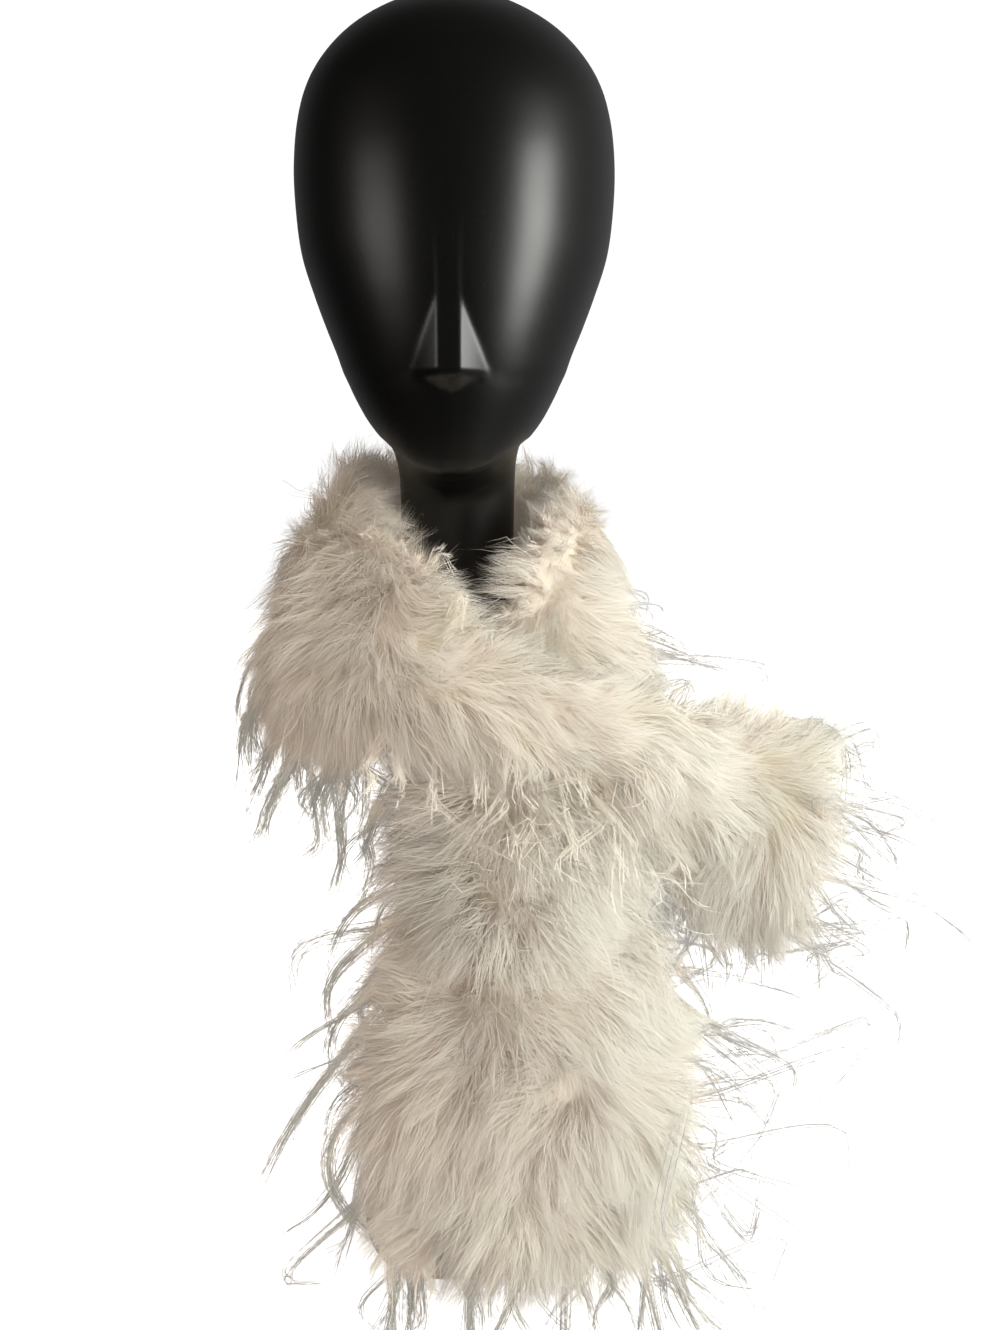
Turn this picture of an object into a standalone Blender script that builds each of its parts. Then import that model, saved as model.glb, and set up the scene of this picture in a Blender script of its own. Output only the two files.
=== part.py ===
"""A long feather scarf wound once round the neck of an egg-shaped head form on a small stand.

Metres, +Z up. The origin is under the neck, on the floor, and the scarf's ends cross in front, towards -Y.
"""

import math
import random
from collections import namedtuple

import bmesh
import bpy
from mathutils import Vector

MM = 0.001
SEAM_GAP = 0.3 * MM
FLOOR_GAP = 4.0 * MM

# The scarf: one padded strip, read from the end of the side tail to the end of the front tail
RING_POINTS = 24
ROWS_PER_SECTION = 3
FADE_ROWS = 2
DIRECTION_STEP = 0.05

# Soft locks in its surface: how high they are, how many lie round the strip, how they wander along it
LOCK_RELIEF = 3.2 * MM
BROAD_LOCKS = 5
BROAD_WANDER = 1.3
BROAD_PACE = 1.9
BROAD_SHARE = 0.6
FINE_LOCKS = 9
FINE_PACE = 2.7
FINE_START = 1.0
FINE_SHARE = 0.4

# Every row of free locks: the narrow strip they grow from and how they taper towards the tip
STRIP_THICK = 1.8 * MM
STRIP_GAP = 0.6 * MM
LOCK_STEPS = 4
ROOT_TAPER = 0.9
TIP_TAPER = 0.55

# Locks of the hem: how unevenly they end, lean to the sides, stray, lean forwards or back, and bend
HEM_UNEVEN = 14 * MM
HEM_SPREAD = 0.22
HEM_SWAY = 0.10
HEM_SWAY_PACE = 0.9
HEM_STRAY = 0.02
HEM_FORWARD = -0.12
HEM_BACK = 0.05
HEM_BEND = 3 * MM

# Locks of the front tail's edges, as shares of their reach and fall: at least, more in a clump, and stray
TAIL_CLUMP_LOCKS = 3
TAIL_CLUMP_PACE = 2.4
TAIL_OUT = 0.35
TAIL_OUT_CLUMP = 0.45
TAIL_OUT_STRAY = 0.2
TAIL_DOWN = 0.95
TAIL_DOWN_CLUMP = 0.4
TAIL_DOWN_STRAY = (-0.1, 0.15)
TAIL_EARLY_FALL = 0.35
TAIL_STAGGER = 9 * MM
TAIL_TIP_CLEAR = 4 * MM
TAIL_LIFT = 3 * MM
TAIL_LIFT_CLUMP = 5 * MM

# Locks of the side tail's end
SIDE_CLUMP_LOCKS = 2
SIDE_CLUMP_PACE = 2.1
SIDE_OUT = 14 * MM
SIDE_OUT_CLUMP = 24 * MM
SIDE_STRAY = 6 * MM
SIDE_FAN = 34 * MM
SIDE_FAN_MIDDLE = 0.35
SIDE_STAGGER = 14 * MM
SIDE_DROP = 16 * MM
SIDE_DROP_CLUMP = 22 * MM
SIDE_DROP_LESS = 0.5

# Locks under the turn of the left band
TURN_CLUMP_LOCKS = 2
TURN_CLUMP_PACE = 2.6
TURN_DROP = 20 * MM
TURN_DROP_CLUMP = 22 * MM
TURN_STRAY = 6 * MM
TURN_OUT = 3 * MM
TURN_OUT_MORE = 10 * MM
TURN_STAGGER = 8 * MM

# Locks below the crossing: long and nearly level to the right, short and steep to the left
CROSS_STEEP = 0.55
CROSS_STEEP_MORE = 0.75
CROSS_LONG = 64 * MM
CROSS_LONG_LESS = 38 * MM
CROSS_STRAY = 6 * MM
CROSS_FORWARD = -10 * MM
CROSS_STAGGER = -5 * MM
CROSS_FALL = 12 * MM
CROSS_BEND = 5 * MM

# The head form
HEAD_POINTS = 40
HEAD_ASIDE = 1.6 * MM
NOSE_HALF_WIDTH = 11.0 * MM
SHOULDER_TOP = 372.0 * MM

# The stand below the neck
COLUMN_RADIUS = 11.0 * MM
BASE_HALF_WIDTH = 62.0 * MM
BASE_FRONT = -20.0 * MM
BASE_BACK = 184.0 * MM
BASE_THICK = 10.0 * MM
BASE_POINTS = 48
BASE_ROUNDNESS = 0.7
BASE_EDGE = 1.5 * MM
SHOULDER_BOTTOM = 352.0 * MM

# x, y, z: middle of the strip; wide, thick: half its width and half its thickness;
# face: the way its outer face looks, in degrees clockwise from the front as seen from above;
# tilt: how far that face looks up, in degrees. All lengths in millimetres
Section = namedtuple("Section", "part x y z wide thick face tilt")
SCARF = [
    Section("scarf_side_tail", 178, -92, 288, 36, 10, 0, 0),
    Section("scarf_side_tail", 167, -95, 291, 55, 20, 0, 4),
    Section("scarf_side_tail", 145, -100, 297, 60, 26, 0, 6),
    Section("scarf_side_tail", 118, -107, 310, 53, 25, 0, 6),
    Section("scarf_left_band", 90, -114, 325, 44, 22, 0, 4),
    Section("scarf_left_band", 62, -120, 342, 39, 21, 0, 2),
    Section("scarf_left_band", 31, -123, 351, 37, 21, 0, 2),
    Section("scarf_left_band", 0, -118, 359, 44, 22, 0, 5),
    Section("scarf_left_band", -26, -106, 368, 55, 23, 4, 8),
    Section("scarf_left_band", -45, -86, 378, 62, 24, 14, 12),
    Section("scarf_left_band", -56, -62, 395, 56, 24, 34, 18),
    Section("scarf_left_band", -61, -32, 411, 48, 23, 62, 20),
    Section("scarf_back", -62, 4, 421, 46, 22, 90, 16),
    Section("scarf_back", -52, 40, 423, 49, 22, 130, 8),
    Section("scarf_back", -26, 62, 423, 51, 23, 160, 4),
    Section("scarf_back", 4, 68, 423, 51, 23, 182, 2),
    Section("scarf_back", 36, 61, 422, 49, 23, 206, 4),
    Section("scarf_back", 58, 38, 420, 47, 22, 236, 8),
    Section("scarf_right_band", 65, 4, 417, 44, 22, 270, 16),
    Section("scarf_right_band", 62, -30, 408, 44, 21, 298, 18),
    Section("scarf_right_band", 58, -54, 391, 45, 20, 328, 14),
    Section("scarf_right_band", 58, -66, 366, 48, 19, 352, 6),
    Section("scarf_front_tail", 54, -67, 336, 54, 19, 360, 0),
    Section("scarf_front_tail", 45, -69, 304, 68, 20, 360, 0),
    Section("scarf_front_tail", 39, -78, 262, 70, 25, 360, 2),
    Section("scarf_front_tail", 37, -85, 218, 76, 27, 360, 2),
    Section("scarf_front_tail", 35, -88, 168, 85, 27, 360, 0),
    Section("scarf_front_tail", 36, -88, 118, 88, 25, 360, 0),
    Section("scarf_front_tail", 37, -87, 80, 82, 22, 360, 0),
    Section("scarf_front_tail", 37, -86, 63, 68, 15, 360, 0),
]

# z: height at the front of the ring; wide: half width; front, back: reach along Y;
# rise: how much higher the ring runs at its sides and back. Millimetres
HeadRing = namedtuple("HeadRing", "z wide front back rise")
HEAD = [
    HeadRing(686.5, 8.4, -16, 10, 0),
    HeadRing(684, 21.8, -31, 26, 0),
    HeadRing(677.5, 39, -50, 45, 0),
    HeadRing(665, 57.3, -71, 65, 0),
    HeadRing(649, 70.4, -86, 80, 0),
    HeadRing(631, 77, -95, 89, 0),
    HeadRing(608, 79.5, -100.5, 92, 0),
    HeadRing(585, 78.5, -103, 88, 0),
    HeadRing(565, 75.5, -103.5, 80, 0),
    HeadRing(546, 69.3, -102, 68, 0),
    HeadRing(530, 63.2, -99.5, 57, 0),
    HeadRing(518, 58.2, -97, 48, 0),
    HeadRing(509, 55, -94.5, 43, 0),
    HeadRing(504, 52.6, -93, 40, 0),
    HeadRing(497, 49.4, -91, 37, 0),
    HeadRing(487, 44, -87.5, 34, 0),
    HeadRing(475, 38.2, -83, 32, 4),
    HeadRing(464, 34.6, -78.5, 31, 12),
    HeadRing(460, 32.4, -74, 30, 14),
    HeadRing(456, 31, -55, 29.5, 12),
    HeadRing(450, 30.3, -36, 29, 10),
    HeadRing(438, 29.8, -31, 28.5, 4),
    HeadRing(415, 29.5, -30, 28, 0),
    HeadRing(392, 30, -30.5, 30, 0),
    HeadRing(380, 32, -31.5, 35, 0),
    HeadRing(374, 37, -33, 48, 0),
    HeadRing(372, 46, -34, 70, 0),
    HeadRing(368, 50, -36, 76, 0),
    HeadRing(356, 50, -36, 76, 0),
    HeadRing(352, 46, -33, 72, 0),
]

# z and how far the nose ridge stands out of the face there, in millimetres
NoseHeight = namedtuple("NoseHeight", "z out")
NOSE = [
    NoseHeight(600, 0),
    NoseHeight(565, 1),
    NoseHeight(546, 2.2),
    NoseHeight(530, 5),
    NoseHeight(509, 8),
    NoseHeight(504, 6),
    NoseHeight(497, 2.5),
    NoseHeight(475, 1.5),
    NoseHeight(460, 0),
]

# Colour, roughness and metallic value of each finish
Finish = namedtuple("Finish", "colour roughness metallic")
FINISHES = {
    "ivory_down": Finish((0.80, 0.76, 0.66, 1), 0.85, 0.0),
    "ostrich_barbs": Finish((0.86, 0.83, 0.74, 1), 0.75, 0.0),
    "gloss_black": Finish((0.012, 0.012, 0.013, 1), 0.12, 0.0),
    "black_steel": Finish((0.02, 0.02, 0.021, 1), 0.3, 0.0),
}


def clear_scene():
    for thing in list(bpy.data.objects):
        bpy.data.objects.remove(thing, do_unlink=True)


def finish(name):
    """The named material, made once."""
    material = bpy.data.materials.get(name)
    if material:
        return material
    material = bpy.data.materials.new(name)
    material.use_nodes = True
    shader = material.node_tree.nodes["Principled BSDF"]
    shader.inputs["Base Color"].default_value = FINISHES[name].colour
    shader.inputs["Roughness"].default_value = FINISHES[name].roughness
    shader.inputs["Metallic"].default_value = FINISHES[name].metallic
    return material


def add_object(name, points, faces, finish_name):
    """One closed solid from points and faces, with its faces turned outwards."""
    mesh = bpy.data.meshes.new(name)
    build = bmesh.new()
    corners = [build.verts.new(point) for point in points]
    for face in faces:
        build.faces.new([corners[index] for index in face])
    bmesh.ops.recalc_face_normals(build, faces=build.faces)
    build.to_mesh(mesh)
    build.free()
    mesh.materials.append(finish(finish_name))
    mesh.shade_smooth()
    solid = bpy.data.objects.new(name, mesh)
    bpy.context.scene.collection.objects.link(solid)
    return solid


def ring_faces(rows, count):
    """Quads between neighbouring rings of count points, and a flat face on each end."""
    faces = [tuple(range(count)), tuple((rows - 1) * count + index for index in range(count))]
    for row in range(rows - 1):
        for index in range(count):
            after = (index + 1) % count
            below = row * count
            above = below + count
            faces.append((below + index, below + after, above + after, above + index))
    return faces


def smooth_between(values, place):
    """A smooth curve through evenly spaced values, read at a place counted in values."""
    start = min(int(place), len(values) - 2)
    share = place - start
    before = values[max(start - 1, 0)]
    first, second = values[start], values[start + 1]
    after = values[min(start + 2, len(values) - 1)]
    return 0.5 * (
        2 * first
        + (second - before) * share
        + (2 * before - 5 * first + 4 * second - after) * share**2
        + (3 * first - before - 3 * second + after) * share**3
    )


def outward(face, tilt):
    """The direction that a face looks in, from its angles in degrees."""
    turn, lift = math.radians(face), math.radians(tilt)
    return Vector((-math.sin(turn) * math.cos(lift), -math.cos(turn) * math.cos(lift), math.sin(lift)))


def scarf_value(field, place):
    """One column of the scarf's table, read at a place counted in sections."""
    return smooth_between([getattr(row, field) for row in SCARF], place)


def scarf_middle(place):
    return Vector([scarf_value(axis, place) * MM for axis in "xyz"])


class Station:
    """One place along the scarf: its middle, its directions and its half sizes."""

    def __init__(self, place):
        ahead = scarf_middle(min(place + DIRECTION_STEP, len(SCARF) - 1))
        behind = scarf_middle(max(place - DIRECTION_STEP, 0))
        looks = outward(scarf_value("face", place), scarf_value("tilt", place))
        self.place = place
        self.middle = scarf_middle(place)
        self.along = (ahead - behind).normalized()
        self.out = (looks - self.along * looks.dot(self.along)).normalized()
        self.side = self.along.cross(self.out)
        self.wide = scarf_value("wide", place) * MM
        self.thick = scarf_value("thick", place) * MM


def lock_relief(place, angle, fade):
    """How far the down stands out in soft locks that run along and slightly across the strip."""
    broad = math.sin(angle * BROAD_LOCKS + BROAD_WANDER * math.sin(place * BROAD_PACE))
    fine = math.sin(angle * FINE_LOCKS - place * FINE_PACE + FINE_START)
    calm_edge = min(1.0, 2 * abs(math.sin(angle)))
    return LOCK_RELIEF * (BROAD_SHARE * broad + FINE_SHARE * fine) * fade * calm_edge


def ring_of(station, fade, shift=0.0):
    """The points round the strip at one station, moved along it by shift."""
    points = []
    for index in range(RING_POINTS):
        angle = (index + 0.5) * 2 * math.pi / RING_POINTS
        across, through = math.cos(angle), math.sin(angle)
        direction = station.side * across + station.out * through
        point = station.middle + station.along * shift
        point = point + station.side * station.wide * across + station.out * station.thick * through
        point = point + direction * lock_relief(station.place, angle, fade)
        points.append(point)
    return points


def part_span(name):
    """The first and last section of one stretch. It runs on to the first section of the next."""
    rows = [number for number, row in enumerate(SCARF) if row.part == name]
    return rows[0], min(rows[-1] + 1, len(SCARF) - 1)


def stretch_rings(name):
    """The rings of one stretch, its stations, and how its relief fades at the seams."""
    first, last = part_span(name)
    count = (last - first) * ROWS_PER_SECTION
    stations = [Station(first + (last - first) * row / count) for row in range(count + 1)]
    rings = []
    for row, station in enumerate(stations):
        fade = min(1.0, row / FADE_ROWS, (count - row) / FADE_ROWS)
        shift = 0.0
        if row == 0 and first > 0:
            shift = SEAM_GAP / 2
        if row == count and last < len(SCARF) - 1:
            shift = -SEAM_GAP / 2
        rings.append(ring_of(station, fade, shift))
    return rings, stations


def make_stretch(name):
    rings, _ = stretch_rings(name)
    points = [point for ring in rings for point in ring]
    if name == "scarf_back":
        rest = SHOULDER_TOP + SEAM_GAP
        points = [Vector((point.x, point.y, max(point.z, rest))) for point in points]
    return add_object(name, points, ring_faces(len(rings), RING_POINTS), "ivory_down")


def edge_frames(name, side, start, end):
    """Four corners of a narrow strip at each ring on one edge of a stretch: inner pair, outer pair."""
    rings, stations = stretch_rings(name)
    first = int(start * (len(rings) - 1))
    last = int(end * (len(rings) - 1))
    low, high = (RING_POINTS - 1, 0) if side > 0 else (RING_POINTS // 2 - 1, RING_POINTS // 2)
    frames = []
    for row in range(first, last + 1):
        away = stations[row].side * side
        near = [rings[row][low] + away * STRIP_GAP, rings[row][high] + away * STRIP_GAP]
        frames.append((near[0], near[1], near[1] + away * STRIP_THICK, near[0] + away * STRIP_THICK))
    return frames


def end_frames(place, sign, reach, half_depth, count):
    """Corners of a strip that runs across the strip's end face, from one edge to the other."""
    station = Station(place)
    away = station.along * sign
    frames = []
    for row in range(count + 1):
        across = station.side * station.wide * reach * (1 - 2 * row / count)
        near = station.middle + across + away * SEAM_GAP
        pair = [near - station.out * half_depth, near + station.out * half_depth]
        frames.append((pair[0], pair[1], pair[1] + away * STRIP_THICK, pair[0] + away * STRIP_THICK))
    return frames


def finer(frames, parts):
    """The same strip with each stretch between two frames cut into equal parts."""
    result = []
    for before, after in zip(frames, frames[1:]):
        for part in range(parts):
            share = part / parts
            result.append(tuple(a.lerp(b, share) for a, b in zip(before, after)))
    result.append(frames[-1])
    return result


def lock_path(root, away, fall, drift):
    """Points of a lock that leaves its root along away and then droops by fall, with its tip last."""
    points = []
    for step in range(1, LOCK_STEPS + 1):
        share = step / LOCK_STEPS
        point = root + away * share + fall * share**2 + drift * math.sin(share * math.pi) * share
        points.append(point)
    return points


def add_lock(points, faces, corners, path):
    """Grow a tapering four-sided lock out of one quad of the strip. The tip is one point."""
    root = sum((points[index] for index in corners), Vector()) / 4
    spokes = [points[index] - root for index in corners]
    wide = (spokes[1] - spokes[0]).normalized()
    half_wide = (spokes[1] - spokes[0]).length / 2
    half_long = (spokes[2] - spokes[1]).length / 2
    ring = list(corners)
    before = root
    for step, place in enumerate(path[:-1]):
        along = (path[step + 1] - before).normalized()
        wide = (wide - along * wide.dot(along)).normalized()
        deep = along.cross(wide)
        taper = ROOT_TAPER - TIP_TAPER * (step + 1) / len(path)
        across = wide * half_wide * taper
        through = deep * half_long * taper
        start = len(points)
        sign = 1 if deep.dot(spokes[2] - spokes[1]) > 0 else -1
        for one, two in ((-1, -1), (1, -1), (1, 1), (-1, 1)):
            points.append(place + across * one + through * two * sign)
        after = [start + index for index in range(4)]
        for index in range(4):
            other = (index + 1) % 4
            faces.append((ring[index], ring[other], after[other], after[index]))
        ring = after
        before = place
    points.append(path[-1])
    tip = len(points) - 1
    for index in range(4):
        faces.append((ring[index], ring[(index + 1) % 4], tip))


def make_fringe(name, frames, columns, grows, path_of):
    """A narrow strip with locks grown out of the quads of its outer face that grows picks."""
    points, faces = [], []
    width = columns + 3
    for near_low, near_high, far_high, far_low in frames:
        points.extend((near_low, near_high))
        points.extend(far_low.lerp(far_high, column / columns) for column in range(columns + 1))
    last = len(frames) - 1
    for end in (0, last):
        base = end * width
        faces.append((base, base + 1) + tuple(base + 2 + column for column in range(columns, -1, -1)))
    locks = []
    for row in range(last):
        here, there = row * width, (row + 1) * width
        faces.append((here, here + 1, there + 1, there))
        faces.append((here, here + 2, there + 2, there))
        faces.append((here + 1, here + 2 + columns, there + 2 + columns, there + 1))
        for column in range(columns):
            corners = (here + 2 + column, here + 3 + column, there + 3 + column, there + 2 + column)
            if grows(row, column):
                locks.append(corners)
            else:
                faces.append(corners)
    for number, corners in enumerate(locks):
        root = sum((points[index] for index in corners), Vector()) / 4
        add_lock(points, faces, corners, path_of(number / max(len(locks) - 1, 1), number, root))
    return add_object(name, points, faces, "ostrich_barbs")


def every_other(row, column):
    """Two rows of locks, set in the gaps of each other."""
    return (row % 4 == 0 and column == 0) or (row % 4 == 2 and column == 2)


def one_in_three(row, column):
    return row % 3 == 1


def one_in_two(row, column):
    return row % 2 == 1


def clump_of(number, size, pace, start=0.0):
    """How deep in a clump a lock is, from 0 to 1. Neighbours in one clump share the value."""
    return 0.5 + 0.5 * math.sin(number // size * pace + start)


def side_to_side(number):
    """Minus a half and a half in turn."""
    return number % 2 - 0.5


def make_hem():
    """Straight locks that hang from the lower end of the front tail to just above the floor."""
    draw = random.Random(11)
    frames = finer(end_frames(len(SCARF) - 1, 1, 0.94, 8 * MM, 8), 10)

    def path_of(share, number, root):
        length = root.z - FLOOR_GAP - draw.uniform(0, HEM_UNEVEN)
        lean = HEM_SPREAD * (share - 0.5) + HEM_SWAY * math.sin(number * HEM_SWAY_PACE)
        lean += draw.uniform(-HEM_STRAY, HEM_STRAY)
        away = Vector((lean, HEM_FORWARD if number % 2 else HEM_BACK, -1)) * length
        return lock_path(root, away, Vector(), Vector((draw.uniform(-HEM_BEND, HEM_BEND), 0, 0)))

    return make_fringe("fringe_hem", frames, 3, every_other, path_of)


def make_tail_edge(name, side, seed, reach, fall):
    """Locks in loose clumps that leave an edge of the front tail sideways and droop."""
    draw = random.Random(seed)
    frames = finer(edge_frames("scarf_front_tail", side, 0.40, 0.98), 4)

    def path_of(share, number, root):
        clump = clump_of(number, TAIL_CLUMP_LOCKS, TAIL_CLUMP_PACE, seed)
        out = -side * (TAIL_OUT + TAIL_OUT_CLUMP * clump + draw.uniform(0, TAIL_OUT_STRAY)) * reach
        down = -(TAIL_DOWN - TAIL_DOWN_CLUMP * clump + draw.uniform(*TAIL_DOWN_STRAY)) * fall
        lowest = max(down, FLOOR_GAP + TAIL_TIP_CLEAR - root.z)
        stagger = (number % TAIL_CLUMP_LOCKS - 1) * TAIL_STAGGER
        start = Vector((out, stagger, TAIL_EARLY_FALL * lowest))
        lift = Vector((0, 0, TAIL_LIFT + TAIL_LIFT_CLUMP * clump))
        return lock_path(root, start, Vector((0, 0, (1 - TAIL_EARLY_FALL) * lowest)), lift)

    return make_fringe(name, frames, 1, one_in_three, path_of)


def make_side_end():
    """Locks that leave the end of the side tail and fan out to the side and down."""
    draw = random.Random(31)
    frames = finer(end_frames(0, -1, 0.92, 6 * MM, 6), 7)

    def path_of(share, number, root):
        clump = clump_of(number, SIDE_CLUMP_LOCKS, SIDE_CLUMP_PACE)
        out = SIDE_OUT + SIDE_OUT_CLUMP * clump + draw.uniform(0, SIDE_STRAY)
        start = Vector((out, side_to_side(number) * SIDE_STAGGER, (SIDE_FAN_MIDDLE - share) * SIDE_FAN))
        drop = SIDE_DROP + SIDE_DROP_CLUMP * clump * (1 - SIDE_DROP_LESS * share)
        drop += draw.uniform(0, SIDE_STRAY)
        return lock_path(root, start, Vector((0, 0, -drop)), Vector())

    return make_fringe("fringe_side_end", frames, 3, every_other, path_of)


def make_left_turn():
    """Clumped locks that hang under the turn of the left band."""
    draw = random.Random(41)
    frames = finer(edge_frames("scarf_left_band", -1, 0.45, 0.9), 4)

    def path_of(share, number, root):
        clump = clump_of(number, TURN_CLUMP_LOCKS, TURN_CLUMP_PACE)
        drop = TURN_DROP + TURN_DROP_CLUMP * clump + draw.uniform(0, TURN_STRAY)
        out = -(TURN_OUT + TURN_OUT_MORE * share)
        start = Vector((out, side_to_side(number) * TURN_STAGGER, -0.5 * drop))
        return lock_path(root, start, Vector((0, 0, -0.5 * drop)), Vector())

    return make_fringe("fringe_left_turn", frames, 1, one_in_three, path_of)


def make_crossing():
    """Long locks that leave the lower edge of the crossing and lie over the root of the side tail."""
    draw = random.Random(51)
    frames = finer(edge_frames("scarf_left_band", -1, 0.04, 0.40), 4)

    def path_of(share, number, root):
        steep = CROSS_STEEP + CROSS_STEEP_MORE * share
        length = CROSS_LONG - CROSS_LONG_LESS * share + draw.uniform(-CROSS_STRAY, CROSS_STRAY)
        forward = CROSS_FORWARD + CROSS_STAGGER * (number % 2)
        start = Vector((math.cos(steep) * length, forward, -math.sin(steep) * length))
        return lock_path(root, start, Vector((0, 0, -CROSS_FALL)), Vector((0, -CROSS_BEND, -CROSS_BEND)))

    return make_fringe("fringe_crossing", frames, 1, one_in_two, path_of)


def nose_out(z, x):
    """How far the nose ridge lifts the face at one height and distance from the middle."""
    out = 0.0
    for above, below in zip(NOSE, NOSE[1:]):
        if below.z * MM <= z <= above.z * MM:
            share = (above.z * MM - z) / ((above.z - below.z) * MM)
            out = (above.out + (below.out - above.out) * share) * MM
    return out * math.exp(-((x / NOSE_HALF_WIDTH) ** 2))


def head_ring(ring):
    """Points round the head or neck at one height, with the nose ridge on the front."""
    points = []
    middle = 0.5 * (ring.front + ring.back) * MM
    for index in range(HEAD_POINTS):
        angle = index * 2 * math.pi / HEAD_POINTS
        facing = math.cos(angle) > 0
        x = ring.wide * MM * math.sin(angle)
        reach = (middle - ring.front * MM) if facing else (ring.back * MM - middle)
        y = middle - reach * math.cos(angle)
        rise = math.sin(angle) ** 2 if facing else 1.0
        z = (ring.z + ring.rise * rise) * MM
        if facing:
            y -= nose_out(ring.z * MM, x)
        points.append(Vector((x + HEAD_ASIDE, y, z)))
    return points


def make_head():
    points = [point for ring in HEAD for point in head_ring(ring)]
    return add_object("head_form", points, ring_faces(len(HEAD), HEAD_POINTS), "gloss_black")


def rounded(solid, width, segments):
    bevel = solid.modifiers.new("edge", "BEVEL")
    bevel.width = width
    bevel.segments = segments
    bevel.limit_method = "ANGLE"


def make_column():
    """The slim post between the base plate and the neck."""
    build = bmesh.new()
    height = SHOULDER_BOTTOM - SEAM_GAP - (BASE_THICK + SEAM_GAP)
    bmesh.ops.create_cone(
        build, cap_ends=True, segments=24, radius1=COLUMN_RADIUS, radius2=COLUMN_RADIUS, depth=height
    )
    mesh = bpy.data.meshes.new("stand_column")
    build.to_mesh(mesh)
    build.free()
    mesh.materials.append(finish("black_steel"))
    column = bpy.data.objects.new("stand_column", mesh)
    column.location = (0, 0, BASE_THICK + SEAM_GAP + height / 2)
    bpy.context.scene.collection.objects.link(column)
    return column


def make_base():
    """The plate on the floor: an oval that reaches back under the head's weight."""
    points = []
    middle = 0.5 * (BASE_FRONT + BASE_BACK)
    half_long = 0.5 * (BASE_BACK - BASE_FRONT)
    for z in (0.0, BASE_THICK):
        for index in range(BASE_POINTS):
            angle = index * 2 * math.pi / BASE_POINTS
            across = math.copysign(abs(math.cos(angle)) ** BASE_ROUNDNESS, math.cos(angle))
            through = math.copysign(abs(math.sin(angle)) ** BASE_ROUNDNESS, math.sin(angle))
            points.append(Vector((BASE_HALF_WIDTH * across, middle + half_long * through, z)))
    base = add_object("stand_base", points, ring_faces(2, BASE_POINTS), "black_steel")
    rounded(base, BASE_EDGE, 2)
    return base


def main():
    clear_scene()
    for name in dict.fromkeys(row.part for row in SCARF):
        make_stretch(name)
    make_hem()
    make_tail_edge("fringe_tail_left", side=1, seed=21, reach=48 * MM, fall=70 * MM)
    make_tail_edge("fringe_tail_right", side=-1, seed=22, reach=62 * MM, fall=56 * MM)
    make_side_end()
    make_left_turn()
    make_crossing()
    make_head()
    make_column()
    make_base()


main()
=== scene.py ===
# %% [markdown]
# A feather scarf on a glossy head form
#
# The scarf is one long strip of cloth that carries down feathers and long ostrich barbs all round. It goes
# once round the neck and crosses in front. This script dresses the plain solids of that object: it builds the
# cloth, covers it with real barbs, and gives every piece its finish. The solids come first, as a fixed frame.

# %% Load the frame
import math
import random
from collections import namedtuple

import bpy
import numpy as np
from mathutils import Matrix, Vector


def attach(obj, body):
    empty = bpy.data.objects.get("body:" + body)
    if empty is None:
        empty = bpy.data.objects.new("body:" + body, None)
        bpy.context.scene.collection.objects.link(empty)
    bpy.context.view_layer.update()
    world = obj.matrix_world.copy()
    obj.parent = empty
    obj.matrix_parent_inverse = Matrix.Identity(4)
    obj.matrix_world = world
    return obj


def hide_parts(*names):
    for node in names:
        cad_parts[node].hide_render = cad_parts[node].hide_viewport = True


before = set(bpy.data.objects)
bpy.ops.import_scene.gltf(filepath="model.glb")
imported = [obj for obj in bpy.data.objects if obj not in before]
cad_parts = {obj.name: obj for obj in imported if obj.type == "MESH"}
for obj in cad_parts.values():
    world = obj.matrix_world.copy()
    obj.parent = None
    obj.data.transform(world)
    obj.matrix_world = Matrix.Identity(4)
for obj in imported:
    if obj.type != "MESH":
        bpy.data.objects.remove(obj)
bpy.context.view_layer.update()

MM = 0.001
BODY = "root"
print("solids in the frame:", sorted(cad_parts))

# %% [markdown]
# The camera
#
# The picture was taken from about 0.6 m in front of the neck, a little above it and looking 10 degrees down.
# A camera looks along its own -Z, so 90 degrees about X makes it level, and 80 degrees tips it down by 10.

# %% Set the camera
CAMERA_PLACE = Vector((0.024, -0.640, 0.470))
CAMERA_DOWN = 10.0
IMAGE_HEIGHT = 1330
FOCAL_PIXELS = 1200
SENSOR = 36.0


def make_camera():
    data = bpy.data.cameras.new("camera")
    data.sensor_width = SENSOR
    data.lens = SENSOR * FOCAL_PIXELS / IMAGE_HEIGHT
    data.clip_start = 0.01
    camera = bpy.data.objects.new("camera", data)
    camera.location = CAMERA_PLACE
    camera.rotation_euler = (math.radians(90 - CAMERA_DOWN), 0, 0)
    bpy.context.scene.collection.objects.link(camera)
    bpy.context.scene.camera = camera
    return camera


print(f"lens: {make_camera().data.lens:.1f} mm")

# %% [markdown]
# One way to write node trees
#
# A material or a Geometry Nodes tree is a graph of nodes. Writing each node and link by hand hides the sums
# that they stand for. A small class that wraps a socket and knows the operators lets a line such as
# `1 - along * 0.5` add its own Math nodes, and one method adds any other node: its type, its settings, which
# are set first because they decide which sockets it has, and then the values or links of its sockets.

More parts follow.
